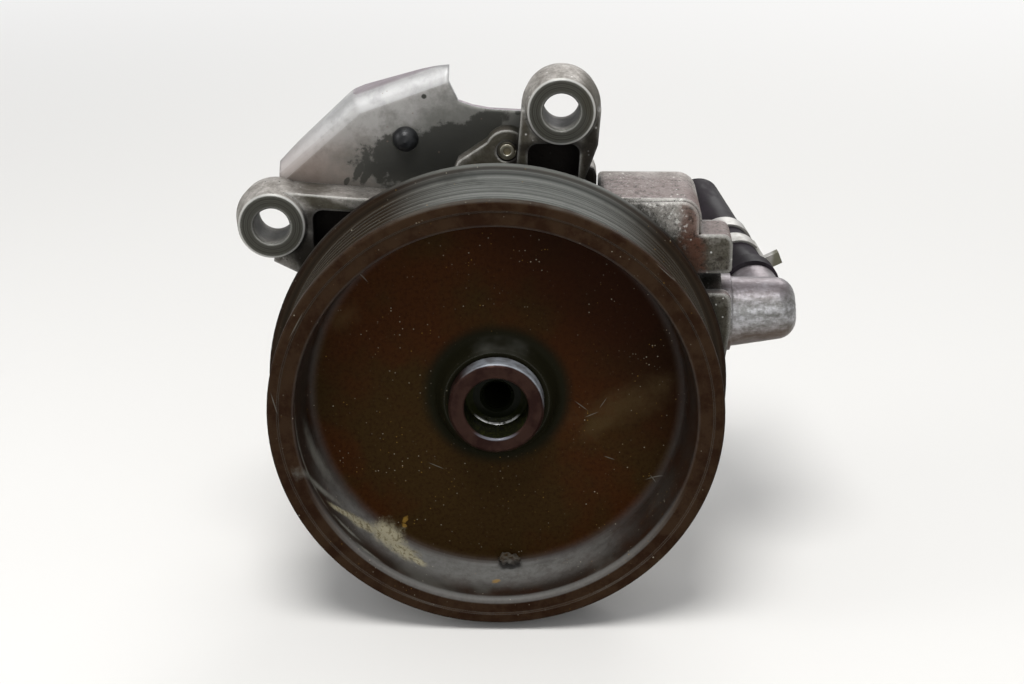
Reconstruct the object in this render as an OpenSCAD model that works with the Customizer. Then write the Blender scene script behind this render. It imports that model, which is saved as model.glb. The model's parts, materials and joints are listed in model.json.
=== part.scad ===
// Vane-type power steering pump with a moulded belt pulley, a suction hose stub and a sheet bracket.
// The shaft runs along Y with the pulley at the front (-Y). X points right and Z points up.
// The origin is on the shaft's axis, in the plane of the hub's open front face.

/* [Pulley] */
// Radius of the rim at its front edge
rim_r = 65; // [62:0.5:70]
// Distance from the rim's front face back to the hub's front face
hub_setback = 8; // [5:0.5:11]
// Height of the front flange over the tips of the belt ribs
front_flange_rise = 1; // [0.5:0.1:3]
// Height of the rear flange over the front one
rear_flange_rise = 2.3; // [0.5:0.1:4]
// Thickness of the front flange
front_flange_w = 2.8; // [2:0.1:5]
// Thickness of the rear flange
rear_flange_w = 3; // [2:0.1:5]
// Number of grooves that the belt runs in
rib_count = 6; // [4:1:7]
// Distance from one groove to the next
rib_pitch = 3.56; // [3:0.01:3.7]
// Depth of a groove
rib_depth = 2.6; // [1.8:0.1:3]
// Flat land between the outer grooves and the flanges
belt_land = 1; // [0.6:0.1:2]
// Wall of the rim under the grooves
rim_wall = 4.2; // [3:0.1:6]
// Amount by which the rim's inner wall closes in toward the web
rim_draft = 1.6; // [0.5:0.1:3]
// Width of the raised ring along the front face's outer edge
edge_ring_w = 3.3; // [2:0.1:4.5]
// Height of that ring over the rest of the front face
edge_ring_h = 0.4; // [0.2:0.1:0.8]
// Depth of the dish, from the rim's front face to the web
dish_depth = 19; // [16:0.5:20]
// Thickness of the web
web_t = 4.5; // [3:0.1:6]
// Radius of the cove between web and rim
cove_r = 3.2; // [2:0.1:4]
// Height of the moulded collar round the hub, over the web
collar_h = 5.3; // [3:0.1:8]
// Wall of that collar at its top
collar_wall = 2.2; // [1.5:0.1:4]
// Width that the collar's foot adds on each side
collar_foot_w = 1.5; // [0.8:0.1:4]

/* [Hub and shaft] */
// Outer radius of the steel hub
hub_r = 13.8; // [13:0.1:15]
// Length of the hub
hub_l = 26; // [24:0.5:27]
// Radius of the hub's open front bore
hub_mouth_r = 9.3; // [9:0.1:10.5]
// Depth of the open bore, down to the shaft's end
hub_mouth_l = 10; // [8:0.5:14]
// Radius over the corners of the hub's moulded-in drive flange
drive_flange_r = 17; // [15.5:0.1:18]
// Thickness of the drive flange
drive_flange_w = 5; // [3:0.5:6]
// Radius of the shaft in the hub and the front bearing
shaft_r = 8.5; // [8.2:0.1:8.8]
// Radius of the shaft in the seal, the rotor and the rear bush
shaft_rear_r = 7.5; // [7:0.1:7.9]
// Wall radius of the threaded puller hole in the shaft's end
puller_r = 4.25; // [3.3:0.05:5]
// Depth of the puller hole
puller_l = 20; // [12:1:26]

/* [Bearing and seal] */
// Outer radius of the front ball bearing
bearing_r = 20; // [19.5:0.1:21]
// Width of the bearing
bearing_w = 12; // [11:0.5:13]
// Number of balls
ball_count = 8; // [6:1:9]
// Radius of a ball
ball_r = 3.37; // [3:0.01:3.5]
// Thickness of the spring clip in front of the bearing
clip_w = 1.5; // [1.2:0.1:2]
// Outer radius of the shaft seal
seal_r = 15; // [13:0.5:17]
// Width of the shaft seal
seal_w = 7; // [6:0.5:8]

/* [Pumping cartridge] */
// Radius of the round chamber that holds the cartridge
chamber_r = 38; // [36:0.5:39]
// Thickness of the front side plate
front_plate_w = 6; // [4:0.5:8]
// Width of the cam ring
cam_w = 20; // [16:1:22]
// Smallest inner radius of the cam ring, as a share of the chamber's radius
cam_share = 0.5895; // [0.56:0.005:0.61]
// Rise of the cam ring's two lobes
cam_lift = 3.2; // [2:0.1:4]
// Thickness of the rear side plate
rear_plate_w = 5; // [4:0.5:7]
// Number of vanes
vane_count = 10; // [8:1:11]
// Thickness of a vane
vane_t = 1.8; // [1.4:0.1:2.2]
// Radial length of a vane, as a share of the rotor's depth down to the shaft
vane_share = 0.524; // [0.44:0.01:0.56]
// Radius of a dowel pin
dowel_r = 2.5; // [2:0.1:3]
// Distance from the chamber's wall in to the two dowel pins
dowel_inset = 6; // [5:0.5:7]

/* [Housing] */
// Gap between the hub's rear face and the housing's nose
nose_gap = 2; // [1:0.5:4]
// Wall of the nose round the bearing
nose_wall = 5; // [4:0.5:7]
// Distance from the hub's front face to the front of the housing's body
body_front_y = 35; // [34:0.5:36]
// Wall of the body round the chamber
body_wall = 5; // [4:0.5:7]
// Wall between the seal's seat and the chamber
seal_wall = 2; // [1.5:0.5:4]
// Radius of a cover bolt's boss
bolt_boss_r = 8; // [7:0.5:9]
// Distance from the body's wall out to the cover bolts
bolt_out = 3; // [2:0.5:4]
// Thickness of the rear cover
cover_w = 9; // [8:0.5:12]
// Radius of the cover's domed centre
dome_r = 22; // [18:0.5:26]
// Height of the domed centre
dome_h = 10; // [8:0.5:14]

/* [Mounting ears] */
// Radius of a mounting hole
ear_hole_r = 5.25; // [4.5:0.05:5.5]
// Radius of the machined face round a mounting hole
ear_face_r = 10; // [9:0.1:10.5]
// Radius of an ear at its widest, behind the machined face
ear_r = 11.4; // [10.8:0.1:12.5]
// Length of a mounting hole
ear_l = 14; // [12:0.5:16]
// Distance from the hub's front face to the ears' machined faces
ear_front_y = 26; // [25:0.5:27]
// Sideways place of the top ear
top_ear_x = 18.2; // [17:0.1:20]
// Height of the top ear over the body's wall
top_ear_rise = 37.8; // [36:0.1:41]
// Distance from the body's wall out to the left ear
left_ear_out = 22.7; // [20:0.1:25]
// Distance from the left arm's flat top down to the left ear
left_ear_drop = 8.1; // [7:0.1:9.5]
// Wall round the hollows in the ears' arms
arm_wall = 3.6; // [3:0.1:4.5]
// Distance from an ear's machined face back to its arm
arm_setback = 2; // [1:0.1:3]
// Height of the left arm's flat top over the body's wall
arm_rise = 11.4; // [10:0.1:13]
// Radius of the third fixing's thread wall, on the underside at the rear
lug_thread_r = 3.4; // [3:0.1:4]
// Depth of that thread
lug_thread_l = 16; // [12:0.5:18]

/* [Valve housing] */
// Distance from the body's wall out to the valve bore's centre
valve_out = 10.25; // [10:0.05:11]
// Angle of the valve bore's centre, up from the right
valve_angle = 34.287; // [33:0.001:36]
// Radius of the valve bore
valve_r = 8; // [7.5:0.1:8.5]
// Wall round the valve bore
valve_wall = 4.5; // [4:0.1:5.5]
// Distance from the valve bore to the block's left side
block_left = 14.5; // [13:0.5:15]
// Width of the valve block
block_w = 29.6; // [28:0.2:30]
// Height of the valve block's top over the body's wall
block_rise = 12; // [10:0.5:14]
// Length of the valve block along the shaft
block_l = 28; // [24:1:32]
// Radius of the block's upper right edge
block_round_r = 6; // [4:0.5:7]
// Width of the small square boss on the block's right
side_boss_w = 9.2; // [8:0.2:11]
// Height of the small square boss
side_boss_h = 11.8; // [10:0.2:13]
// Distance from the block's top down to the small square boss
side_boss_drop = 10.7; // [9:0.1:12]
// Length of the small square boss along the shaft
side_boss_l = 14; // [11:0.5:16]

/* [Flow valve] */
// Length of the valve spool
spool_l = 17; // [15:0.5:19]
// Travel of the spool against its spring
spool_travel = 7; // [5:0.5:8]
// Radius of the pressure outlet's thread wall
port_r = 6.25; // [5.5:0.05:6.5]
// Depth of the pressure outlet's thread
port_l = 13; // [10:0.5:14]
// Width across the flats of the outlet's hexagon
outlet_hex_w = 19; // [18:0.5:19.5]
// Height of the outlet's hexagon
outlet_hex_h = 7; // [5:0.5:9]
// Wire radius of the valve spring
spring_wire_r = 0.6; // [0.4:0.05:0.8]
// Radius of the relief ball
relief_ball_r = 2.2; // [2:0.05:2.4]

/* [Inlet and hose] */
// Distance from the hub's front face to the inlet's centre
inlet_y = 42; // [41:0.5:44]
// Height of the inlet's centre over the shaft
inlet_z = 14.6; // [14:0.2:16]
// Radius of the housing's inlet boss
inlet_boss_r = 15.5; // [14:0.5:16]
// Distance from the body's wall out to the inlet boss's right face
inlet_out = 23; // [22:0.5:24.5]
// Radius of the elbow next to the housing
elbow_r = 10.8; // [10:0.1:11.4]
// Radius of the elbow at its far end
elbow_tip_r = 9.4; // [9:0.1:10]
// Length of the elbow, out to its rounded end
elbow_l = 23.3; // [22:0.1:27]
// Distance that the wall in front of the elbow reaches past the elbow's seat
front_wall_reach = 2.5; // [1:0.1:4]
// Angle at which the elbow rises to the right
elbow_rise = 4; // [0:1:8]
// Radius of the hose barb
barb_r = 5.6; // [5:0.1:6]
// Wall of the suction hose
hose_wall = 2.4; // [2:0.1:3]
// Length of the hose stub
hose_l = 60; // [45:1:75]
// Angle at which the hose leans to the left
hose_lean = 13; // [0:1:20]
// Angle at which the hose climbs
hose_climb = 10; // [0:1:20]
// Width of each band of the hose clamp
band_w = 5; // [3:0.5:6]
// Gap between the clamp's two bands
band_gap = 5.6; // [4:0.2:8]
// Thickness of the clamp's bands
band_t = 0.8; // [0.5:0.1:1.2]

/* [Bracket plate] */
// Thickness of the sheet
sheet_t = 1.8; // [1.2:0.1:2.5]
// Outer radius of the sheet's bend
bend_r = 6.8; // [5:0.1:8]
// Depth of the bent flange, measured from the plate's front face
flange_depth = 12; // [9:0.5:15]
// Width of the plate from its left end to its right edge
plate_w = 78; // [74:0.5:82]
// Height of the plate's highest bend line over the left arm's top
plate_rise = 29.7; // [26:0.1:33]
// Radius of the rubber plug's head
plug_r = 3.8; // [3.3:0.1:4.5]
// Radius of the hole that the rubber plug sits in
plug_hole_r = 2.8; // [2.2:0.1:3]
// Radius of the plate's two screws
screw_r = 3; // [2.5:0.1:3.2]

/* [Fasteners] */
// Radius of a cover bolt's shank
bolt_r = 4; // [3:0.1:4.5]
// Width across the flats of a cover bolt's head
bolt_head_w = 13; // [11:0.5:14]
// Height of a cover bolt's head
bolt_head_h = 6; // [4:0.5:8]
// Length of a cover bolt's shank
bolt_l = 26; // [20:1:32]

/* [Clearances] */
// Radial clearance of parts that run in or on one another
run_gap = 0.05; // [0.02:0.01:0.08]
// Clearance of parts that slide into place and stay there
slip_gap = 0.1; // [0.05:0.01:0.2]
// Clearance between moving parts that never touch
free_gap = 0.4; // [0.3:0.05:0.6]

/* [Hidden] */
$fn = 96;
fine_fn = 48;
hull_fn = 32;
hex_fn = 6;
// Overrun of every cut past the face that it opens
cut = 1;
// Small bevel on turned and drilled edges
bevel = 0.8;
// Radius of small cast edges
cast_round = 1.5;

// Rim, from the front face back
rim_front_y = -hub_setback;
belt_front_y = rim_front_y + front_flange_w;
belt_w = rib_count * rib_pitch + 2 * belt_land;
belt_rear_y = belt_front_y + belt_w;
rim_rear_y = belt_rear_y + rear_flange_w;
rib_tip_r = rim_r - front_flange_rise;
rib_root_r = rib_tip_r - rib_depth;
rib_land_share = 0.16;
rim_inner_r = rib_root_r - rim_wall;
rear_flange_r = rim_r + rear_flange_rise;
web_front_y = rim_front_y + dish_depth;
web_rear_y = web_front_y + web_t;
dish_floor_r = rim_inner_r - rim_draft;
collar_front_y = web_front_y - collar_h;
collar_rear_y = hub_l - bevel * 4;
flange_sides = 12;
drive_flange_y = web_front_y;

// Shaft line, from the front back
shaft_front_y = hub_mouth_l;
nose_front_y = hub_l + nose_gap;
clip_y = nose_front_y + clip_w;
bearing_y = clip_y + clip_w;
bearing_rear_y = bearing_y + bearing_w;
seal_y = bearing_rear_y;
seal_rear_y = seal_y + seal_w;
chamber_y = seal_rear_y + seal_wall;
cam_y = chamber_y + front_plate_w;
cam_rear_y = cam_y + cam_w;
plate_rear_y = cam_rear_y + rear_plate_w;
spigot_l = 3;
body_rear_y = plate_rear_y + spigot_l;
cover_rear_y = body_rear_y + cover_w;
bush_wall = 2;
bush_l = 14;
shaft_rear_y = plate_rear_y + bush_l;
body_r = chamber_r + body_wall;
nose_r = bearing_r + nose_wall;
bolt_circle_r = body_r + bolt_out;
dowel_circle_r = chamber_r - dowel_inset;
valve_circle_r = body_r + valve_out;
valve_x = valve_circle_r * cos(valve_angle);
valve_z = valve_circle_r * sin(valve_angle);
block_top_z = body_r + block_rise;
block_x = valve_x - block_left;
inlet_face_x = body_r + inlet_out;
clip_depth = 1.3;
shoulder_w = 2.5;
track_r = (bearing_r + shaft_r) / 2;
race_inner_r = track_r - ball_r * 0.62;
race_outer_r = track_r + ball_r * 0.62;
cage_t = 1.3;
ring_seal_w = 2.4;
ring_seal_h = 1.4;
cam_min_r = chamber_r * cam_share;
rotor_r = cam_min_r - free_gap;
vane_l = (rotor_r - shaft_rear_r) * vane_share;
spline_count = 8;
spline_w = 2.2;
spline_h = 1.2;
ring_w = 1.2;
ring_rise = 2.1;
ring_depth = 0.7;
bolt_angles = [8, 98, 188, 278];
port_angle = 50;

// Ears and arms
top_ear_z = body_r + top_ear_rise;
left_ear_x = body_r + left_ear_out;
arm_top_z = body_r + arm_rise;
left_ear_z = arm_top_z - left_ear_drop;
ear_rear_y = ear_front_y + ear_l;
arm_front_y = ear_front_y + arm_setback;
arm_rear_y = ear_rear_y;
arm_floor_w = 4;
plate_front_y = arm_rear_y;
top_rib_l = 9;
screw_boss_w = 6;
plate_left_out = 26;
plate_x = -body_r - plate_left_out;
screw_boss_share = 0.918;
screw_boss_x = plate_x + screw_boss_share * plate_w;
screw_boss_rise = 23.7;
screw_boss_z = body_r + screw_boss_rise;
arm_screw_share = 0.4615;
arm_screw_x = plate_x + arm_screw_share * plate_w;
arm_screw_drop = 7.5;
arm_screw_z = arm_top_z - arm_screw_drop;
screw_head_h = 4;
screw_head_r = 5;
lug_r = 8.5;
lug_l = 24;
lug_angle = 233;
lug_out = 9;
lug_circle_r = body_r + lug_out;

// Valve line, from the blind front end back
valve_boss_rear_y = 80;
stop_y = 63;
outlet_thread_r = 8.5;
washer_w = 1.5;
washer_r = 9.9;
spool_gap = 0.03;
spool_front_y = stop_y - spool_l;
spring_coil_r = 5.4;
spring_turns = 5;
spring_solid_l = 2 * spring_wire_r * (spring_turns + 1);
spool_recess = 4;
valve_front_y = spool_front_y + spool_recess - spring_solid_l - spool_travel;
relief_seat_l = 3;
relief_seat_r = 4;
relief_bore_l = 11;
relief_hole_r = 1;
relief_coil_r = 1.5;
relief_wire_r = 0.35;
relief_turns = 3;
relief_seat_y = spool_front_y + spool_recess + relief_seat_l;
relief_ball_y = relief_seat_y + sqrt(relief_ball_r * relief_ball_r - relief_hole_r * relief_hole_r) + run_gap;
relief_vent_r = 0.8;
waist_r = 6.2;
waist_w = 4;
orifice_r = 1.8;

// Inlet line
elbow_seat_r = 8.5;
elbow_seat_l = 8;
elbow_bore_r = 6.4;
inlet_shoulder_w = 3.5;
spigot_x = 13.5;
spigot_root_r = 8.6;
spigot_root_l = 12;
barb_l = 24;
hose_r = barb_r + hose_wall;
hose_bead_h = 1.5;
hose_bead_r = hose_r + hose_bead_h;
hose_bead_l = 6;
clamp_start = 15.5;
tongue_angle = -24;
tongue_l = 6.5;
tab_w = 4.4;
tab_t = 1.6;
tab_h = 5.2;

// Turned profile (radius, distance along the shaft) swept round the shaft's axis
module turned() {
    rotate([-90, 0, 0]) rotate_extrude() children();
}

// Round bar along Y at a place seen from the front
module rod(x, z, y0, y1, r) {
    translate([x, y0, z]) rotate([-90, 0, 0]) cylinder(h = y1 - y0, r = r);
}

// Round bar along Y whose radius changes
module cone_rod(x, z, y0, y1, r0, r1) {
    translate([x, y0, z]) rotate([-90, 0, 0]) cylinder(h = y1 - y0, r1 = r0, r2 = r1);
}

// Outline drawn as seen from the front, given a thickness along Y
module slab(y0, y1) {
    translate([0, y1, 0]) rotate([90, 0, 0]) linear_extrude(y1 - y0) children();
}

// Ring along Y
module ring(y0, y1, r_in, r_out) {
    turned() polygon([[r_in, y0], [r_out, y0], [r_out, y1], [r_in, y1]]);
}

// Points of an arc about a centre, from one angle to another
function arc(cx, cy, r, a0, a1, n = 6) = [
    for (i = [0:n]) let (a = a0 + (a1 - a0) * i / n) [cx + r * cos(a), cy + r * sin(a)]
];

function polar(r, a) = [r * cos(a), r * sin(a)];

// Outline with every corner rounded to a radius
function unit(v) = v / norm(v);
function rounded(outline, r, n = 5) = [
    for (i = [0:len(outline) - 1])
        let (
            p = outline[i],
            u = unit(outline[(i + len(outline) - 1) % len(outline)] - p),
            v = unit(outline[(i + 1) % len(outline)] - p),
            half = acos(u * v) / 2,
            middle = p + unit(u + v) * r / sin(half),
            from = p + u * r / tan(half) - middle,
            turn = sign(u[0] * v[1] - u[1] * v[0]) * (2 * half - 180)
        )
        for (k = [0:n]) let (a = turn * k / n)
            middle + [from[0] * cos(a) - from[1] * sin(a), from[0] * sin(a) + from[1] * cos(a)]
];

// Belt grooves as points (radius, place along the shaft), from the front to the rear
function groove(y) = let (land = rib_pitch * rib_land_share) [
    [rib_tip_r, y + land / 2], [rib_root_r, y + rib_pitch / 2 - land / 2],
    [rib_root_r, y + rib_pitch / 2 + land / 2], [rib_tip_r, y + rib_pitch - land / 2]
];

module pulley() {
    y0 = rim_front_y;
    edge_in_r = rim_r - edge_ring_w;
    foot_r = hub_r + collar_wall + collar_foot_w;
    rim_rear_in_r = rim_inner_r - rim_draft;
    color([0.2, 0.17, 0.14]) difference() {
        turned() polygon(concat(
            [[hub_r, collar_rear_y], [hub_r, collar_front_y]],
            [[hub_r + collar_wall - bevel, collar_front_y], [hub_r + collar_wall, collar_front_y + bevel]],
            arc(foot_r + collar_wall, web_front_y - collar_wall, collar_wall, 150, 90),
            arc(dish_floor_r - cove_r, web_front_y - cove_r, cove_r, 90, 0),
            arc(rim_inner_r + bevel, y0 + edge_ring_h + bevel, bevel, 180, 270, 4),
            [[edge_in_r, y0 + edge_ring_h], [edge_in_r + edge_ring_h, y0]],
            arc(rim_r - bevel, y0 + bevel, bevel, 270, 360, 4),
            [[rim_r, belt_front_y - bevel / 2], [rib_tip_r, belt_front_y]],
            [for (i = [0:rib_count - 1]) each groove(belt_front_y + belt_land + i * rib_pitch)],
            [[rib_tip_r, belt_rear_y - belt_land / 2], [rear_flange_r - bevel, belt_rear_y]],
            arc(rear_flange_r - bevel, belt_rear_y + bevel, bevel, 300, 360, 4),
            arc(rear_flange_r - bevel, rim_rear_y - bevel, bevel, 0, 90, 4),
            [[rim_rear_in_r, rim_rear_y]],
            arc(rim_rear_in_r - cove_r, web_rear_y + cove_r, cove_r, 0, -90),
            [[foot_r + collar_wall, web_rear_y], [foot_r, web_rear_y + collar_wall]],
            [[foot_r - bevel, collar_rear_y]]
        ));
        rod(0, 0, drive_flange_y, drive_flange_y + drive_flange_w, drive_flange_r, $fn = flange_sides);
    }
}

module pulley_hub() {
    color([0.42, 0.4, 0.4]) difference() {
        union() {
            turned() polygon([
                [0, 0], [hub_r - bevel, 0], [hub_r, bevel], [hub_r, hub_l - bevel],
                [hub_r - bevel, hub_l], [0, hub_l]
            ]);
            rod(0, 0, drive_flange_y, drive_flange_y + drive_flange_w, drive_flange_r, $fn = flange_sides);
        }
        rod(0, 0, -cut, hub_mouth_l, hub_mouth_r);
        cone_rod(0, 0, -cut, bevel / 2, hub_mouth_r + bevel / 2 + cut, hub_mouth_r);
        rod(0, 0, hub_mouth_l - cut, hub_l + cut, shaft_r);
    }
}

// Splines of the shaft, or their grooves in the rotor
module splines(y0, y1) {
    for (i = [0:spline_count - 1]) rotate([0, i * 360 / spline_count, 0])
        translate([0, y0, -spline_w / 2]) cube([shaft_rear_r + spline_h, y1 - y0, spline_w]);
}

module drive_shaft() {
    ring_y = cam_rear_y + free_gap;
    bore_end = shaft_front_y + puller_l;
    color([0.62, 0.62, 0.6]) difference() {
        union() {
            turned() polygon([
                [0, shaft_front_y], [shaft_r - bevel, shaft_front_y], [shaft_r, shaft_front_y + bevel],
                [shaft_r, bearing_rear_y], [shaft_rear_r, bearing_rear_y + bevel],
                [shaft_rear_r, shaft_rear_y - bevel], [shaft_rear_r - bevel, shaft_rear_y],
                [0, shaft_rear_y]
            ]);
            splines(cam_y + free_gap, cam_rear_y - free_gap);
        }
        rod(0, 0, shaft_front_y - cut, bore_end, puller_r);
        cone_rod(0, 0, shaft_front_y, shaft_front_y + bevel, puller_r + bevel, puller_r);
        cone_rod(0, 0, bore_end, bore_end + puller_r / 2, puller_r, 0);
        ring(ring_y, ring_y + ring_w, shaft_rear_r - ring_depth, shaft_rear_r + cut);
    }
}

module rotor_snap_ring() {
    ring_y = cam_rear_y + free_gap;
    gap_w = shaft_rear_r / 2;
    color([0.35, 0.35, 0.36]) difference() {
        ring(ring_y, ring_y + ring_w, shaft_rear_r - ring_depth, shaft_rear_r + ring_rise);
        translate([0, ring_y - cut, -gap_w / 2]) cube([shaft_r * 2, ring_w + 2 * cut, gap_w]);
    }
}

module rotor() {
    slot_floor_r = rotor_r - vane_l - free_gap;
    pocket_r = vane_t * 0.8;
    color([0.6, 0.6, 0.62]) difference() {
        ring(cam_y + run_gap, cam_rear_y - run_gap, shaft_rear_r, rotor_r);
        splines(cam_y - cut, cam_rear_y + cut);
        for (i = [0:vane_count - 1]) rotate([0, i * 360 / vane_count, 0]) {
            translate([slot_floor_r, cam_y - cut, -vane_t / 2 - run_gap / 2])
                cube([rotor_r, cam_w + 2 * cut, vane_t + run_gap]);
            rod(slot_floor_r, 0, cam_y - cut, cam_rear_y + cut, pocket_r, $fn = fine_fn);
        }
    }
}

module vanes() {
    color([0.78, 0.78, 0.76]) for (i = [0:vane_count - 1]) rotate([0, i * 360 / vane_count, 0])
        intersection() {
            translate([rotor_r - vane_l, cam_y + run_gap, -vane_t / 2])
                cube([vane_l, cam_w - 2 * run_gap, vane_t]);
            rod(0, 0, cam_y, cam_rear_y, rotor_r - run_gap);
        }
}

module dowel_holes(y0, y1) {
    for (s = [-1, 1]) rod(s * polar(dowel_circle_r, 45)[0], s * polar(dowel_circle_r, 45)[1], y0, y1, dowel_r);
}

module dowel_pins() {
    pin_rear_y = plate_rear_y + spigot_l;
    color([0.7, 0.7, 0.7]) dowel_holes(chamber_y + front_plate_w / 2, pin_rear_y);
}

// Radius of the cam at an angle: two lobes, so that each chamber fills and empties twice a turn
function cam_r(a) = cam_min_r + cam_lift * (1 - cos(2 * a)) / 2;

module cam_ring() {
    suction_h = cam_w / 4;
    color([0.5, 0.5, 0.5]) difference() {
        rod(0, 0, cam_y, cam_rear_y, chamber_r - slip_gap);
        slab(cam_y - cut, cam_rear_y + cut) polygon([for (a = [0:3:357]) polar(cam_r(a), a + 90)]);
        dowel_holes(cam_y - cut, cam_rear_y + cut);
        for (s = [-1, 1]) translate([s * chamber_r, cam_y + cam_w / 2, 0])
            cube([chamber_r / 2, suction_h, chamber_r / 2], center = true);
    }
}

// Curved port through a side plate, centred on an angle
module kidney(y0, y1, r, half_w, centre) {
    rotate([0, -centre + port_angle / 2, 0]) rotate([-90, 0, 0])
        rotate_extrude(angle = port_angle) translate([r - half_w, y0]) square([2 * half_w, y1 - y0]);
}

module side_plate(y0, y1, hole_r) {
    kidney_r = (rotor_r + cam_min_r + cam_lift) / 2;
    difference() {
        rod(0, 0, y0, y1, chamber_r - slip_gap);
        rod(0, 0, y0 - cut, y1 + cut, hole_r);
        for (a = [45, 225]) kidney(y0 - cut, y1 + cut, kidney_r, vane_t, a + 180 / 2);
    }
}

module front_side_plate() {
    color([0.6, 0.6, 0.58]) difference() {
        side_plate(chamber_y, cam_y, shaft_rear_r + free_gap);
        dowel_holes(chamber_y + front_plate_w / 2, cam_y + cut);
    }
}

module rear_side_plate() {
    recess_r = shaft_rear_r + ring_rise + free_gap;
    color([0.6, 0.6, 0.58]) difference() {
        side_plate(cam_rear_y, plate_rear_y, shaft_rear_r + free_gap);
        rod(0, 0, cam_rear_y - cut, cam_rear_y + ring_w + 2 * free_gap, recess_r);
        dowel_holes(cam_rear_y - cut, plate_rear_y + cut);
    }
}

module balls(r) {
    for (i = [0:ball_count - 1]) rotate([0, i * 360 / ball_count, 0])
        translate([track_r, bearing_y + bearing_w / 2, 0]) sphere(r = r, $fn = fine_fn);
}

module ball_track() {
    rotate([-90, 0, 0]) rotate_extrude() translate([track_r, bearing_y + bearing_w / 2])
        circle(r = ball_r + run_gap, $fn = fine_fn);
}

module bearing_outer_race() {
    color([0.75, 0.76, 0.78]) difference() {
        ring(bearing_y, bearing_rear_y, race_outer_r, bearing_r);
        ball_track();
    }
}

module bearing_inner_race() {
    color([0.75, 0.76, 0.78]) difference() {
        ring(bearing_y, bearing_rear_y, shaft_r, race_inner_r);
        ball_track();
    }
}

module bearing_balls() {
    color([0.85, 0.86, 0.88]) balls(ball_r);
}

module bearing_cage() {
    mid_y = bearing_y + bearing_w / 2;
    half_w = ball_r * 1.25;
    color([0.72, 0.58, 0.3]) difference() {
        ring(mid_y - half_w, mid_y + half_w, track_r - cage_t, track_r + cage_t);
        for (i = [0:ball_count - 1]) rotate([0, i * 360 / ball_count, 0])
            translate([track_r - cage_t - cut, mid_y, 0]) rotate([0, 90, 0])
                cylinder(h = 2 * (cage_t + cut), r = ball_r + slip_gap, $fn = fine_fn);
    }
}

module bearing_circlip() {
    gap_w = bearing_r / 2;
    color([0.35, 0.35, 0.36]) difference() {
        ring(clip_y, bearing_y, bearing_r - shoulder_w, bearing_r + clip_depth);
        translate([-gap_w / 2, clip_y - cut, 0]) cube([gap_w, clip_w + 2 * cut, bearing_r * 2]);
    }
}

module shaft_seal() {
    case_t = 1.6;
    lip_t = 2;
    lip_gap = run_gap + run_gap;
    color([0.1, 0.1, 0.1]) turned() polygon([
        [shaft_rear_r + lip_t * 2, seal_y + bevel], [seal_r, seal_y + bevel], [seal_r, seal_rear_y],
        [seal_r - case_t, seal_rear_y], [seal_r - case_t, seal_y + bevel + case_t],
        [shaft_rear_r + lip_t * 2, seal_y + bevel + case_t],
        [shaft_rear_r + lip_t, seal_rear_y - lip_t], [shaft_rear_r + lip_gap, seal_rear_y - lip_t],
        [shaft_rear_r + lip_gap, seal_rear_y - 2 * lip_t]
    ]);
}

module rear_bush() {
    color([0.7, 0.55, 0.3]) ring(plate_rear_y, shaft_rear_y, shaft_rear_r + run_gap, shaft_rear_r + bush_wall);
}

// Places of the cover bolts as seen from the front
module at_bolts() {
    for (a = bolt_angles) translate([polar(bolt_circle_r, a)[0], 0, polar(bolt_circle_r, a)[1]]) children();
}

module left_arm_outline(inset) {
    x0 = -left_ear_x;
    low_z = left_ear_z - ear_r;
    polygon([
        [x0 + ear_face_r * 0.35 + inset, arm_top_z + cast_round - inset],
        [-nose_r, arm_top_z - cast_round - inset], [-inset, body_r - inset], [-inset, inset],
        [-body_r + inset, nose_r - cast_round + inset], [x0 + inset, low_z + inset]
    ]);
}

module left_pocket() {
    x0 = -left_ear_x + ear_r + bevel / 2;
    slab(arm_front_y - cut, arm_rear_y - arm_floor_w) polygon(rounded([
        [x0, arm_top_z - arm_wall], [-nose_r - arm_wall, arm_top_z - arm_wall - cast_round],
        [-nose_r - arm_wall, nose_r + arm_wall], [x0, left_ear_z - ear_face_r + cast_round]
    ], cast_round * 2));
}

module top_arm_outline() {
    x_left = top_ear_x - ear_r;
    x_right = top_ear_x + ear_r;
    polygon([
        [x_left, top_ear_z], [x_left - cast_round, top_ear_z - ear_r * 1.6],
        [x_left - 2 * cast_round, nose_r], [x_right - 2 * arm_wall, nose_r],
        [x_right - 2 * arm_wall, body_r + nose_wall * 2], [x_right - arm_wall, top_ear_z - ear_r * 1.6],
        [x_right - bevel, top_ear_z - ear_r * 0.9], [x_right, top_ear_z]
    ]);
}

module top_pocket() {
    x_left = top_ear_x - ear_r + arm_wall / 2;
    x_right = top_ear_x + ear_r - arm_wall * 1.6;
    slab(arm_front_y - cut, arm_rear_y - arm_floor_w) polygon(rounded([
        [x_left, top_ear_z - ear_face_r], [x_right, top_ear_z - ear_face_r],
        [x_right - bevel, body_r + nose_wall * 3], [x_left, body_r + nose_wall * 3]
    ], cast_round * 2));
}

// Rib behind the top ear's arm, down to the body
module top_rib() {
    x_right = top_ear_x + ear_r - bevel;
    slab(arm_rear_y - cast_round, arm_rear_y + top_rib_l) polygon([
        [x_right - arm_wall, nose_r], [x_right, nose_r], [x_right, body_r + nose_wall * 3],
        [x_right - bevel, top_ear_z - ear_r * 1.8], [x_right - arm_wall, top_ear_z - ear_r * 1.7]
    ]);
}

// One ear: machined face, drafted boss that is widest at its parting line
module ear(x, z) {
    mid_y = ear_front_y + ear_l * 0.6;
    cone_rod(x, z, ear_front_y, ear_front_y + bevel, ear_face_r - bevel / 2, ear_face_r);
    cone_rod(x, z, ear_front_y + bevel, mid_y, ear_face_r, ear_r);
    cone_rod(x, z, mid_y, ear_rear_y, ear_r, ear_face_r + bevel);
}

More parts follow.
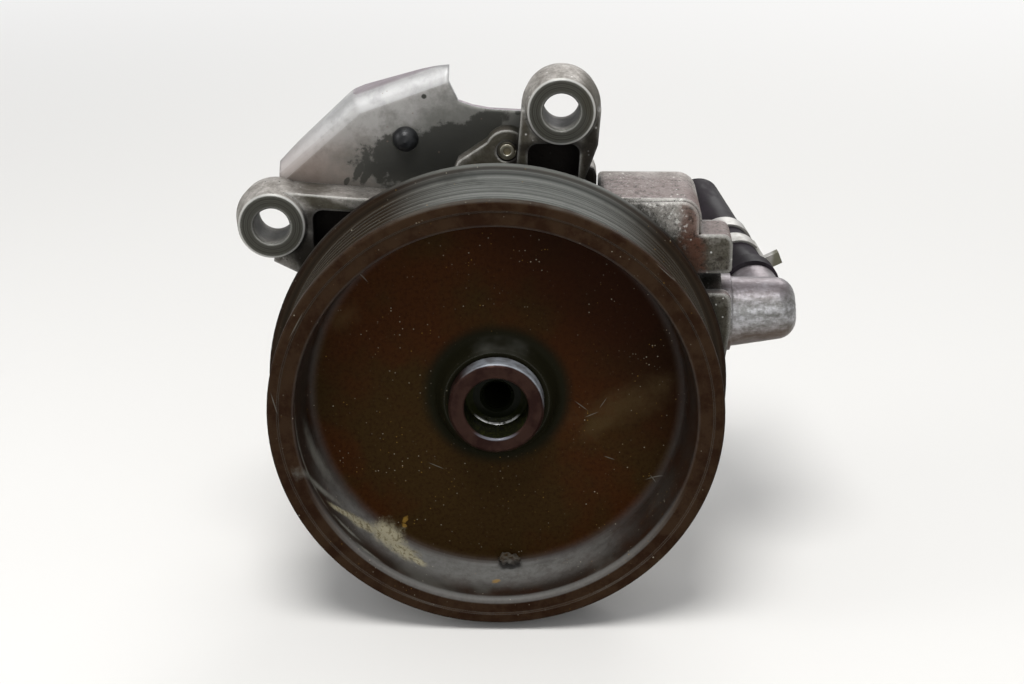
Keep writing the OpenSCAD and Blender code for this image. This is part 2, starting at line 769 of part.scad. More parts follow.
module ear_hole(x, z) {
    rod(x, z, ear_front_y - cut, ear_rear_y + cut, ear_hole_r);
    cone_rod(x, z, ear_front_y - cut, ear_front_y + bevel / 2, ear_hole_r + bevel / 2 + cut, ear_hole_r);
}

module screw_boss() {
    slab(ear_rear_y - screw_boss_w, ear_rear_y) polygon(concat(
        [[-nose_r, body_r * 0.8], [screw_boss_x - ear_r * 1.25, screw_boss_z - screw_r]],
        arc(screw_boss_x, screw_boss_z, screw_r * 2.15, 155, 60, 8),
        [[top_ear_x, screw_boss_z + screw_r * 2], [top_ear_x, body_r * 0.8]]
    ));
}

module valve_block() {
    right = block_x + block_w;
    r = block_round_r;
    slab(ear_front_y + bevel, ear_front_y + block_l) polygon(concat(
        [[block_x, nose_r]], arc(block_x + cast_round, block_top_z - cast_round, cast_round, 180, 90, 3),
        arc(right - r, block_top_z - r, r, 90, 0), [[right, nose_r]]
    ));
    slab(ear_front_y, ear_front_y + 2 * bevel) polygon(concat(
        [[block_x + bevel, nose_r]], arc(block_x + cast_round, block_top_z - cast_round - bevel, bevel, 180, 90, 3),
        arc(right - r, block_top_z - r, r - bevel, 90, 0), [[right - bevel, nose_r]]
    ));
    rod(valve_x, valve_z, ear_front_y + bevel, valve_boss_rear_y, valve_r + valve_wall);
}

module side_boss() {
    x0 = block_x + block_w;
    top = block_top_z - side_boss_drop;
    r = cast_round * 2;
    slab(ear_front_y, ear_front_y + side_boss_l) polygon(concat(
        [[x0 - r, top - side_boss_h], [x0 - r, top]],
        arc(x0 + side_boss_w - r, top - r, r, 90, 0),
        arc(x0 + side_boss_w - cast_round, top - side_boss_h + cast_round, cast_round, 0, -90, 3)
    ));
}

module inlet_boss() {
    translate([body_r - body_wall, inlet_y, inlet_z]) rotate([0, 90, 0])
        cylinder(h = inlet_face_x - body_r + body_wall, r = inlet_boss_r);
    translate([body_r - body_wall, inlet_y, inlet_z - inlet_boss_r])
        cube([inlet_boss_r, inlet_boss_r, inlet_boss_r * 2]);
    inlet_front_wall();
}

// Wall that stands in front of the elbow's foot, narrower at the bottom
module inlet_front_wall() {
    x1 = inlet_face_x + front_wall_reach;
    low_z = inlet_z - inlet_boss_r;
    top_z = inlet_z + elbow_r + bevel;
    r = cast_round * 2;
    slab(ear_front_y, inlet_y - elbow_r - bevel - free_gap) polygon(concat(
        [[valve_x, low_z], [valve_x, top_z]], arc(x1 - r, top_z - r, r, 90, 0),
        [[x1, inlet_z], [x1 - front_wall_reach * 0.8, low_z]]
    ));
}

module at_lug() {
    translate([polar(lug_circle_r, lug_angle)[0], 0, polar(lug_circle_r, lug_angle)[1]]) children();
}

module housing() {
    lug_y = body_rear_y - lug_l;
    color([0.62, 0.6, 0.57]) difference() {
        union() {
            turned() polygon([
                [0, nose_front_y], [nose_r - bevel, nose_front_y], [nose_r, nose_front_y + bevel],
                [nose_r, body_front_y], [body_r - cast_round, body_front_y],
                [body_r, body_front_y + cast_round], [body_r, body_rear_y], [0, body_rear_y]
            ]);
            at_bolts() rod(0, 0, body_rear_y - bolt_l, body_rear_y, bolt_boss_r);
            at_lug() rod(0, 0, lug_y, body_rear_y - cast_round, lug_r);
            rotate([0, -lug_angle, 0]) translate([body_r - body_wall, lug_y + bevel, bevel - lug_r])
                cube([lug_circle_r - body_r + body_wall, lug_l - cast_round - 2 * bevel, 2 * (lug_r - bevel)]);
            slab(arm_front_y, arm_rear_y) left_arm_outline(0);
            slab(arm_front_y, arm_rear_y) top_arm_outline();
            ear(top_ear_x, top_ear_z);
            ear(-left_ear_x, left_ear_z);
            top_rib();
            screw_boss();
            valve_block();
            side_boss();
            inlet_boss();
        }
        left_pocket();
        top_pocket();
        ear_hole(top_ear_x, top_ear_z);
        ear_hole(-left_ear_x, left_ear_z);
        rod(0, 0, nose_front_y - cut, bearing_rear_y, bearing_r);
        rod(0, 0, clip_y, bearing_y, bearing_r + clip_depth);
        rod(0, 0, seal_y - cut, seal_rear_y, seal_r);
        rod(0, 0, seal_rear_y - cut, chamber_y + cut, shaft_r + free_gap);
        rod(0, 0, chamber_y, body_rear_y + cut, chamber_r);
        at_bolts() rod(0, 0, body_rear_y - bolt_l + cover_w, body_rear_y + cut, bolt_r);
        at_lug() rod(0, 0, body_rear_y - cast_round - lug_thread_l, body_rear_y, lug_thread_r);
        rod(screw_boss_x, screw_boss_z, ear_rear_y - screw_boss_w - cut, ear_rear_y + cut, screw_r);
        rod(arm_screw_x, arm_screw_z, arm_rear_y - arm_floor_w, arm_rear_y + cut, screw_r);
        rod(valve_x, valve_z, valve_front_y, valve_boss_rear_y + cut, valve_r);
        rod(valve_x, valve_z, stop_y, valve_boss_rear_y + cut, outlet_thread_r);
        inlet_passage();
    }
}

module inlet_passage() {
    duct_r = elbow_bore_r * 0.8;
    duct_x = chamber_r - 2 * duct_r;
    translate([duct_x, inlet_y, inlet_z]) rotate([0, 90, 0])
        cylinder(h = inlet_face_x - duct_x + cut, r = elbow_bore_r);
    translate([inlet_face_x - elbow_seat_l, inlet_y, inlet_z]) rotate([0, 90, 0])
        cylinder(h = elbow_seat_l + cut, r = elbow_seat_r);
    rod(duct_x, inlet_z, inlet_y, chamber_y + cut, duct_r);
}

module rear_cover() {
    y0 = body_rear_y;
    dome_y = cover_rear_y + dome_h;
    groove_r = chamber_r + ring_seal_w / 4;
    color([0.62, 0.6, 0.57]) difference() {
        union() {
            rod(0, 0, plate_rear_y, y0 + cut, chamber_r - slip_gap);
            rod(0, 0, y0, cover_rear_y, body_r);
            at_bolts() rod(0, 0, y0, cover_rear_y, bolt_boss_r);
            cone_rod(0, 0, cover_rear_y - cut, dome_y - cast_round, dome_r + cut, dome_r - cast_round);
            cone_rod(0, 0, dome_y - cast_round, dome_y, dome_r - cast_round, dome_r - 2 * cast_round);
        }
        rod(0, 0, plate_rear_y - cut, shaft_rear_y + bevel, shaft_rear_r + bush_wall);
        ring(y0 - cut, y0 + ring_seal_h, groove_r, groove_r + ring_seal_w);
        at_bolts() rod(0, 0, y0 - cut, cover_rear_y + cut, bolt_r + slip_gap);
        dowel_holes(plate_rear_y - cut, y0);
    }
}

module cover_seal() {
    groove_r = chamber_r + ring_seal_w / 4;
    color([0.08, 0.08, 0.08]) ring(body_rear_y, body_rear_y + ring_seal_h, groove_r, groove_r + ring_seal_w);
}

module cover_bolts() {
    y0 = cover_rear_y;
    corner_r = bolt_head_w / sqrt(3);
    color([0.7, 0.7, 0.68]) at_bolts() {
        rod(0, 0, y0 - bolt_l, y0 + cut, bolt_r);
        cone_rod(0, 0, y0, y0 + bevel, corner_r + bevel, corner_r + bevel / 2);
        rod(0, 0, y0, y0 + bolt_head_h, corner_r, $fn = hex_fn);
    }
}

module outlet_fitting() {
    hex_y = valve_boss_rear_y + washer_w;
    rear_y = hex_y + outlet_hex_h;
    corner_r = outlet_hex_w / sqrt(3);
    color([0.66, 0.64, 0.55]) difference() {
        union() {
            rod(valve_x, valve_z, stop_y, hex_y + cut, outlet_thread_r);
            rod(valve_x, valve_z, hex_y, rear_y, corner_r, $fn = hex_fn);
        }
        rod(valve_x, valve_z, rear_y - port_l, rear_y + cut, port_r);
        rod(valve_x, valve_z, stop_y - cut, rear_y, orifice_r);
        cone_rod(valve_x, valve_z, rear_y - bevel, rear_y + cut, port_r, port_r + bevel + cut);
    }
}

module outlet_washer() {
    y0 = valve_boss_rear_y;
    color([0.75, 0.5, 0.3]) difference() {
        rod(valve_x, valve_z, y0, y0 + washer_w, washer_r);
        rod(valve_x, valve_z, y0 - cut, y0 + washer_w + cut, outlet_thread_r);
    }
}

module flow_spool() {
    y0 = spool_front_y;
    y1 = stop_y - spool_gap;
    waist_y = y0 + spool_l * 0.4;
    relief_y = y0 + spool_recess;
    recess_r = spring_coil_r + spring_wire_r + free_gap;
    color([0.72, 0.72, 0.74]) difference() {
        rod(valve_x, valve_z, y0, y1, valve_r - spool_gap);
        difference() {
            rod(valve_x, valve_z, waist_y, waist_y + waist_w, valve_r + cut);
            rod(valve_x, valve_z, waist_y - cut, waist_y + waist_w + cut, waist_r);
        }
        rod(valve_x, valve_z, y0 - cut, relief_y, recess_r);
        rod(valve_x, valve_z, relief_y - cut, relief_y + relief_bore_l, relief_seat_r);
        translate([valve_x - valve_r, waist_y + waist_w / 2, valve_z]) rotate([0, 90, 0])
            cylinder(h = valve_r * 2, r = relief_vent_r, $fn = fine_fn);
    }
}

module relief_seat() {
    y0 = spool_front_y + spool_recess;
    color([0.7, 0.6, 0.35]) difference() {
        rod(valve_x, valve_z, y0, y0 + relief_seat_l, relief_seat_r);
        rod(valve_x, valve_z, y0 - cut, y0 + relief_seat_l + cut, relief_hole_r);
    }
}

module relief_ball() {
    color([0.85, 0.86, 0.88]) translate([valve_x, relief_ball_y, valve_z])
        sphere(r = relief_ball_r, $fn = fine_fn);
}

// Wire coil along Y made of rings of points, joined ring by ring
module coil(x, z, y0, y1, coil_r, wire_r, turns) {
    steps = turns * 14;
    sides = 6;
    rise = y1 - y0 - 2 * wire_r;
    points = [
        for (i = [0:steps]) let (a = 360 * turns * i / steps, y = y0 + wire_r + rise * i / steps)
            for (k = [0:sides - 1]) let (b = 360 * k / sides, r = coil_r + wire_r * cos(b))
                [x + r * cos(a), y + wire_r * sin(b), z + r * sin(a)]
    ];
    faces = concat(
        [[for (k = [0:sides - 1]) k]],
        [for (i = [0:steps - 1]) for (k = [0:sides - 1]) let (n = (k + 1) % sides)
            [i * sides + k, (i + 1) * sides + k, (i + 1) * sides + n, i * sides + n]],
        [[for (k = [sides - 1:-1:0]) steps * sides + k]]
    );
    polyhedron(points = points, faces = faces, convexity = turns);
}

module valve_spring() {
    color([0.45, 0.45, 0.47])
        coil(valve_x, valve_z, valve_front_y, spool_front_y + spool_recess, spring_coil_r, spring_wire_r, spring_turns);
}

module relief_spring() {
    touch_r = relief_ball_r + relief_wire_r;
    y0 = relief_ball_y + sqrt(touch_r * touch_r - relief_coil_r * relief_coil_r) - relief_wire_r + slip_gap;
    y1 = spool_front_y + spool_recess + relief_bore_l;
    color([0.45, 0.45, 0.47]) coil(valve_x, valve_z, y0, y1, relief_coil_r, relief_wire_r, relief_turns);
}

// Frame of the elbow: its axis rises a little to the right
module at_elbow() {
    translate([inlet_face_x, inlet_y, inlet_z]) rotate([0, -elbow_rise, 0]) children();
}

// Frame of the hose: its own Z runs along the hose, from the elbow's centre line
module at_hose() {
    at_elbow() translate([spigot_x, 0, 0]) rotate([0, elbow_rise, 0])
        rotate([0, 0, hose_lean]) rotate([hose_climb - 90, 0, 0]) children();
}

module inlet_elbow() {
    round_r = cast_round * 4;
    foot = elbow_r * sin(elbow_rise);
    color([0.75, 0.75, 0.74]) difference() {
        union() {
            translate([inlet_face_x - elbow_seat_l, inlet_y, inlet_z]) rotate([0, 90, 0])
                cylinder(h = elbow_seat_l + cut, r = elbow_seat_r);
            translate([inlet_face_x, inlet_y, inlet_z]) rotate([0, 90, 0])
                cylinder(h = inlet_shoulder_w, r = elbow_r + bevel);
            at_elbow() rotate([0, 90, 0]) rotate_extrude() polygon(concat(
                [[0, foot], [elbow_r, foot]],
                arc(elbow_tip_r - round_r, elbow_l - round_r, round_r, 0, 90, 8), [[0, elbow_l]]
            ));
            at_hose() cylinder(h = spigot_root_l, r = spigot_root_r);
            at_hose() cylinder(h = spigot_root_l + barb_l, r = barb_r);
        }
        translate([inlet_face_x - elbow_seat_l - cut, inlet_y, inlet_z]) rotate([0, 90, 0])
            cylinder(h = elbow_seat_l + 2 * cut, r = elbow_bore_r);
        at_elbow() rotate([0, 90, 0]) cylinder(h = spigot_x, r = elbow_bore_r);
        at_hose() cylinder(h = spigot_root_l + barb_l + cut, r = barb_r - hose_wall / 2);
        seal_groove(cut);
    }
}

// Groove for the seal on the elbow's plug
module seal_groove(over) {
    translate([inlet_face_x - elbow_seat_l / 2, inlet_y, inlet_z]) rotate([0, 90, 0]) rotate_extrude()
        translate([elbow_seat_r - ring_seal_h, -ring_seal_h]) square([ring_seal_h + over, 2 * ring_seal_h]);
}

module elbow_seal() {
    color([0.08, 0.08, 0.08]) seal_groove(0);
}

module suction_hose() {
    color([0.13, 0.12, 0.13]) difference() {
        at_hose() translate([0, 0, spigot_root_l]) rotate_extrude() polygon([
            [barb_r, 0], [hose_bead_r - bevel, 0], [hose_bead_r, bevel], [hose_bead_r, hose_bead_l - bevel],
            [hose_bead_r - bevel, hose_bead_l], [hose_r, hose_bead_l], [hose_r, hose_l],
            [barb_r, hose_l]
        ]);
        at_elbow() rotate([0, 90, 0]) cylinder(h = spigot_x, r = elbow_r + bevel + free_gap);
    }
}

module hose_clamp() {
    outer_r = hose_r + band_t;
    total_w = 2 * band_w + band_gap;
    color([0.78, 0.78, 0.76]) at_hose() translate([0, 0, spigot_root_l + clamp_start]) difference() {
        union() {
            difference() {
                cylinder(h = total_w, r = outer_r);
                translate([0, 0, -cut]) cylinder(h = total_w + 2 * cut, r = hose_r);
                for (a = [20, 140, 260]) rotate([0, 0, a]) translate([0, 0, band_w])
                    rotate_extrude(angle = 85) square([outer_r + cut, band_gap]);
            }
            rotate([0, 0, tongue_angle]) translate([hose_r - band_t / 2, -tab_w / 2, -tongue_l]) {
                cube([1.5 * band_t, tab_w, tongue_l + band_w]);
                cube([tab_h + band_t / 2, tab_w, tab_t]);
            }
        }
        translate([0, 0, -tongue_l - cut]) cylinder(h = tongue_l + total_w + 2 * cut, r = hose_r);
    }
}

// Places on the plate as shares of its width and rise
function on_plate(share) = [plate_x + share[0] * plate_w, arm_top_z + share[1] * plate_rise];
plug_share = [0.536, 0.481];
plug_x = on_plate(plug_share)[0];
plug_z = on_plate(plug_share)[1];
// Bend line of the plate: left end, corner and right end
bend_shares = [[-0.055, -0.33], [0.377, 0.687], [1.05, 1.33]];
// Cut outline of the plate, clockwise from the lower left
cut_shares = [
    [0.055, -0.05], [0.055, 1.5], [0.705, 1.5], [0.7, 1.06], [0.735, 0.87], [0.79, 0.82], [0.85, 0.79],
    [1, 0.77], [1, -0.1], [0.9, -0.32], [0.56, -0.32], [0.53, -0.46], [0.4, -0.46], [0.37, -0.32], [0.2, -0.05]
];
// Depth of the bent flange along the plate: places as shares of its width, depths as shares of the deepest
depth_shares = [[0.03, 0.3], [0.377, 1], [0.71, 0.26], [1.1, 0.26]];

module plate_block(r, inset) {
    y0 = plate_front_y + inset;
    y1 = plate_front_y + flange_depth;
    low_z = arm_top_z - plate_rise;
    hull() {
        for (s = bend_shares) translate([on_plate(s)[0], y0 + r, on_plate(s)[1]]) {
            sphere(r = r, $fn = hull_fn);
            rotate([90, 0, 0]) cylinder(h = r, r = r / 4, $fn = hex_fn);
            rotate([-90, 0, 0]) cylinder(h = y1 - y0, r = r, $fn = hull_fn);
        }
        translate([on_plate(bend_shares[2])[0], y0, low_z]) cube([r, y1 - y0 + r, r]);
        translate([on_plate(bend_shares[0])[0], y0, low_z]) cube([r, y1 - y0 + r, r]);
    }
}

module bracket_plate() {
    y0 = plate_front_y;
    color([0.6, 0.6, 0.59]) difference() {
        intersection() {
            plate_block(bend_r, 0);
            slab(y0, y0 + flange_depth) polygon([for (s = cut_shares) on_plate(s)]);
            translate([0, y0, arm_top_z - plate_rise]) linear_extrude(plate_rise * 3) polygon(concat(
                [[on_plate(depth_shares[3])[0], 0], [on_plate(depth_shares[0])[0], 0]],
                [for (s = depth_shares) [on_plate(s)[0], s[1] * flange_depth]]
            ));
        }
        plate_block(bend_r - sheet_t, sheet_t);
        rod(plug_x, plug_z, y0 - cut, y0 + sheet_t + cut, plug_hole_r);
        rod(screw_boss_x, screw_boss_z, y0 - cut, y0 + sheet_t + cut, screw_r + free_gap);
        rod(arm_screw_x, arm_screw_z, y0 - cut, y0 + sheet_t + cut, screw_r + free_gap);
    }
}

module rubber_plug() {
    y0 = plate_front_y;
    head_h = plug_r * 0.9;
    lip_r = plug_r * 0.9;
    lip_h = sheet_t;
    color([0.08, 0.08, 0.09]) translate([plug_x, 0, plug_z]) turned() polygon(concat(
        [[0, y0 - head_h]], arc(0, y0 - head_h + plug_r, plug_r, -60, -8, 6), [[plug_r, y0]],
        [[plug_hole_r, y0], [plug_hole_r, y0 + sheet_t], [lip_r, y0 + sheet_t],
         [plug_hole_r * 0.7, y0 + sheet_t + 2 * lip_h], [0, y0 + sheet_t + 2 * lip_h]]
    ));
}

module plate_screws() {
    y0 = plate_front_y + sheet_t;
    places = [[screw_boss_x, screw_boss_z, screw_boss_w - 2 * bevel], [arm_screw_x, arm_screw_z, arm_floor_w - bevel]];
    color([0.7, 0.7, 0.66]) for (p = places) {
        rod(p[0], p[1], plate_front_y - p[2], y0 + cut, screw_r);
        rod(p[0], p[1], y0, y0 + bevel, screw_head_r + bevel);
        rod(p[0], p[1], y0, y0 + screw_head_h, screw_head_r, $fn = hex_fn);
    }
}

housing();
rear_cover();
cover_bolts();
cover_seal();
cam_ring();
front_side_plate();
rear_side_plate();
dowel_pins();
bearing_outer_race();
bearing_circlip();
shaft_seal();
rear_bush();
outlet_fitting();
outlet_washer();
valve_spring();
inlet_elbow();
elbow_seal();
suction_hose();
hose_clamp();
bracket_plate();
rubber_plug();
plate_screws();
pulley();
pulley_hub();
drive_shaft();
rotor();
vanes();
bearing_inner_race();
rotor_snap_ring();
bearing_balls();
bearing_cage();
flow_spool();
relief_seat();
relief_spring();
relief_ball();
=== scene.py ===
import json
import math

import bpy
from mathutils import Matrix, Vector

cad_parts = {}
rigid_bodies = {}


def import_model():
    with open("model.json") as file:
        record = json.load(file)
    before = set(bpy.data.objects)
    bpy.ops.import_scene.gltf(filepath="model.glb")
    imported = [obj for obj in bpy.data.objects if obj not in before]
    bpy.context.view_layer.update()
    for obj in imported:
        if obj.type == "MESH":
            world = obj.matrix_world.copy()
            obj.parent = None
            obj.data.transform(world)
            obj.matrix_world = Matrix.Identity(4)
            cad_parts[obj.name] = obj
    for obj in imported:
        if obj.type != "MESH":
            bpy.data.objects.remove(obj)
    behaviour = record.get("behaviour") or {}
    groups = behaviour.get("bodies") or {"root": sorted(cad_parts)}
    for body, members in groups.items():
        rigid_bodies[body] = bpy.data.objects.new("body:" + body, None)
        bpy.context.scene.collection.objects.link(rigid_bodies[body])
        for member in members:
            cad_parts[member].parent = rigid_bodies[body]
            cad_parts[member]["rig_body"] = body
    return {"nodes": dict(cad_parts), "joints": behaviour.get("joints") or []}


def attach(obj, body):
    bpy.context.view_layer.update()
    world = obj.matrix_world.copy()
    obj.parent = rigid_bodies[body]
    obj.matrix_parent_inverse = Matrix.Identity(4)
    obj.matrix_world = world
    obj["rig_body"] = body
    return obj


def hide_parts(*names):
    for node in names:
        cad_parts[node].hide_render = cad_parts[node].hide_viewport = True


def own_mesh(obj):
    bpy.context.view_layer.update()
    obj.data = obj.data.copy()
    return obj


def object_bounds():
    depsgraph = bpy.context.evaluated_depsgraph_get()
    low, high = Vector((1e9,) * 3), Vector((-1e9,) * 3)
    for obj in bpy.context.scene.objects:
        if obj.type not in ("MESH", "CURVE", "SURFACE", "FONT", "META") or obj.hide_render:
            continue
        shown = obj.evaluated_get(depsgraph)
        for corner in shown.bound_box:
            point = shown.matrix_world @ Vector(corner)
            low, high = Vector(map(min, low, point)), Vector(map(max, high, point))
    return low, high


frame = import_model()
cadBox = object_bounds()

nodes = frame["nodes"]


def mm(value):
    return value / 1000


def photoColour(red, green, blue):  # a colour as read off a screen, 0 to 255
    def linear(part):
        part /= 255
        return part / 12.92 if part <= 0.04045 else ((part + 0.055) / 1.055) ** 2.4
    return (linear(red), linear(green), linear(blue), 1)


# camera: where the photograph was taken from, in the frame's own axes
cameraSettings = {
    "place": (mm(12.54), mm(-557.32), mm(238.40)),
    "lookDown": 21.33,     # degrees below level
    "turnLeft": 0.8235,    # degrees
    "lens": 74.36,         # mm on the sensor's width
    "sensorWidth": 36,
    "nearest": mm(10),
}


def addCamera(settings):
    cameraData = bpy.data.cameras.new("camera")
    cameraData.sensor_fit = "HORIZONTAL"
    cameraData.sensor_width = settings["sensorWidth"]
    cameraData.lens = settings["lens"]
    cameraData.clip_start = settings["nearest"]
    camera = bpy.data.objects.new("camera", cameraData)
    camera.location = settings["place"]
    camera.rotation_euler = (math.radians(90 - settings["lookDown"]), 0, math.radians(settings["turnLeft"]))
    bpy.context.scene.collection.objects.link(camera)
    bpy.context.scene.camera = camera


addCamera(cameraSettings)
print("camera placed")


# studio: one soft lamp overhead, weak ones at the front, the left and the rear, a pale floor
studio = {
    "floorSize": 6,
    "floorDrop": mm(0.2),
    "floorFade": (0.4, 1.3),       # from here to here the floor turns plain white for the camera
    "floorColour": photoColour(222, 220, 216),
    "skyColour": photoColour(176, 178, 182),
    "lamps": [
        # name, place in metres, size, watts
        ("topLamp", (-0.08, -0.36, 0.95), 0.5, 9.0),
        ("frontLamp", (0.5, -1.2, 0.55), 0.7, 2.4),
        ("leftLamp", (-1.1, -0.2, 0.5), 0.6, 2.4),
        ("rearLamp", (0.4, 1.1, 0.8), 0.7, 6.0),
    ],
}


def addSky(settings):  # dim for the light it gives, white where it is seen or mirrored
    world = bpy.data.worlds.new("studioWorld")
    world.use_nodes = True
    tree = world.node_tree
    background = tree.nodes["Background"]
    path = tree.nodes.new("ShaderNodeLightPath")
    seen = tree.nodes.new("ShaderNodeMath")
    seen.operation = "MAXIMUM"
    tree.links.new(path.outputs["Is Camera Ray"], seen.inputs[0])
    tree.links.new(path.outputs["Is Glossy Ray"], seen.inputs[1])
    shown = tree.nodes.new("ShaderNodeMix")
    shown.data_type = "RGBA"
    shown.inputs[6].default_value = settings["skyColour"]
    shown.inputs[7].default_value = (1, 1, 1, 1)
    tree.links.new(seen.outputs[0], shown.inputs[0])
    tree.links.new(shown.outputs[2], background.inputs["Color"])
    background.inputs["Strength"].default_value = 1
    bpy.context.scene.world = world


def addFloor(settings):
    bpy.ops.object.select_all(action="DESELECT")
    bpy.ops.mesh.primitive_plane_add(size=settings["floorSize"],
        location=(0, 0, cadBox[0][2] - settings["floorDrop"]))
    floor = bpy.context.object
    floor.name = "floor"
    paint = bpy.data.materials.new("floorPaint")
    paint.use_nodes = True
    surface = paint.node_tree.nodes["Principled BSDF"]
    surface.inputs["Base Color"].default_value = settings["floorColour"]
    surface.inputs["Roughness"].default_value = 0.9
    surface.inputs["Specular IOR Level"].default_value = 0.2
    tree = paint.node_tree
    place = tree.nodes.new("ShaderNodeTexCoord").outputs["Object"]
    near, far = settings["floorFade"]
    away = step(tree, vectorCalc(tree, "LENGTH", place, output=1), near, far)
    away = times(tree, away, tree.nodes.new("ShaderNodeLightPath").outputs["Is Camera Ray"])
    white = tree.nodes.new("ShaderNodeEmission")
    blend = tree.nodes.new("ShaderNodeMixShader")
    tree.links.new(away, blend.inputs[0])
    tree.links.new(surface.outputs[0], blend.inputs[1])
    tree.links.new(white.outputs[0], blend.inputs[2])
    tree.links.new(blend.outputs[0], tree.nodes["Material Output"].inputs["Surface"])
    floor.data.materials.append(paint)


def addLamps(settings):
    for name, place, size, watts in settings["lamps"]:
        lampData = bpy.data.lights.new(name, "AREA")
        lampData.shape = "DISK"
        lampData.size = size
        lampData.energy = watts
        lamp = bpy.data.objects.new(name, lampData)
        lamp.location = place
        lamp.rotation_euler = (-Vector(place)).to_track_quat("-Z", "Y").to_euler()
        bpy.context.scene.collection.objects.link(lamp)


# small helpers for node trees
def feed(tree, socket, value):  # a socket is linked, anything else is set
    if isinstance(value, bpy.types.NodeSocket):
        tree.links.new(value, socket)
    elif value is not None:
        socket.default_value = value


def calc(tree, operation, *values, clamp=False):
    node = tree.nodes.new("ShaderNodeMath")
    node.operation = operation
    node.use_clamp = clamp
    for socket, value in zip(node.inputs, values):
        feed(tree, socket, value)
    return node.outputs[0]


def times(tree, *values):
    product = values[0]
    for value in values[1:]:
        product = calc(tree, "MULTIPLY", product, value)
    return product


def plus(tree, first, second):
    return calc(tree, "ADD", first, second)


def rest(tree, value):  # what is left of 1
    return calc(tree, "SUBTRACT", 1.0, value)


def vectorCalc(tree, operation, *values, output=0):
    node = tree.nodes.new("ShaderNodeVectorMath")
    node.operation = operation
    for socket, value in zip(node.inputs, values):
        feed(tree, socket, value)
    return node.outputs[output]


def step(tree, value, low, high):  # 0 at low, 1 at high, smooth between
    node = tree.nodes.new("ShaderNodeMapRange")
    node.interpolation_type = "SMOOTHSTEP"
    for label, number in (("Value", value), ("From Min", low), ("From Max", high)):
        feed(tree, node.inputs[label], number)
    return node.outputs[0]


def mixColour(tree, factor, first, second):
    node = tree.nodes.new("ShaderNodeMix")
    node.data_type = "RGBA"
    for index, value in ((0, factor), (6, first), (7, second)):
        feed(tree, node.inputs[index], value)
    return node.outputs[2]


def mixValue(tree, factor, first, second):
    node = tree.nodes.new("ShaderNodeMix")
    for index, value in ((0, factor), (2, first), (3, second)):
        feed(tree, node.inputs[index], value)
    return node.outputs[0]


def noise(tree, vector, scale, detail=3, roughness=0.55, dimensions="3D"):
    node = tree.nodes.new("ShaderNodeTexNoise")
    node.noise_dimensions = dimensions
    feed(tree, node.inputs["W" if dimensions == "1D" else "Vector"], vector)
    for label, value in (("Scale", scale), ("Detail", detail), ("Roughness", roughness)):
        feed(tree, node.inputs[label], value)
    return node.outputs["Fac"]


bpy.context.scene.view_settings.view_transform = "Standard"
addSky(studio)
addFloor(studio)
addLamps(studio)
print("studio lit")


def startGroup(name, inputs, outputs):
    tree = bpy.data.node_groups.new(name, "ShaderNodeTree")
    for label, kind, value in inputs:
        socket = tree.interface.new_socket(label, in_out="INPUT", socket_type="NodeSocket" + kind)
        if value is not None:
            socket.default_value = value
    for label, kind in outputs:
        tree.interface.new_socket(label, in_out="OUTPUT", socket_type="NodeSocket" + kind)
    return tree, tree.nodes.new("NodeGroupInput").outputs, tree.nodes.new("NodeGroupOutput").inputs


def useGroup(tree, group, **values):
    node = tree.nodes.new("ShaderNodeGroup")
    node.node_tree = group
    for label, value in values.items():
        feed(tree, node.inputs[label], value)
    return node.outputs


# edgeWear: 1 along outer and inner edges within a distance, from a rounded normal
def makeEdgeWear():
    tree, given, result = startGroup("edgeWear", [("Distance", "Float", mm(0.6))],
        [("Mask", "Float"), ("Normal", "Vector")])
    rounded = tree.nodes.new("ShaderNodeBevel")
    rounded.samples = 6
    tree.links.new(given["Distance"], rounded.inputs["Radius"])
    trueNormal = tree.nodes.new("ShaderNodeNewGeometry").outputs["Normal"]
    likeness = vectorCalc(tree, "DOT_PRODUCT", rounded.outputs[0], trueNormal, output=1)
    tree.links.new(step(tree, likeness, 0.99, 0.86), result["Mask"])
    tree.links.new(rounded.outputs[0], result["Normal"])
    return tree


# castSkin: sand-cast grain, as a height and a light-and-dark mottle
def makeCastSkin():
    tree, given, result = startGroup("castSkin", [("Vector", "Vector", None), ("Grain", "Float", 900.0)],
        [("Height", "Float"), ("Mottle", "Float")])
    fine = noise(tree, given["Vector"], given["Grain"], 4, 0.6)
    coarse = noise(tree, given["Vector"], times(tree, given["Grain"], 0.22), 3, 0.5)
    cells = tree.nodes.new("ShaderNodeTexVoronoi")
    tree.links.new(given["Vector"], cells.inputs["Vector"])
    feed(tree, cells.inputs["Scale"], times(tree, given["Grain"], 0.5))
    pits = step(tree, cells.outputs["Distance"], 0.32, 0.12)
    height = plus(tree, times(tree, fine, 0.6), times(tree, coarse, 0.8))
    tree.links.new(calc(tree, "SUBTRACT", height, times(tree, pits, 0.35)), result["Height"])
    tree.links.new(step(tree, plus(tree, fine, times(tree, coarse, 0.6)), 0.62, 1.0), result["Mottle"])
    return tree


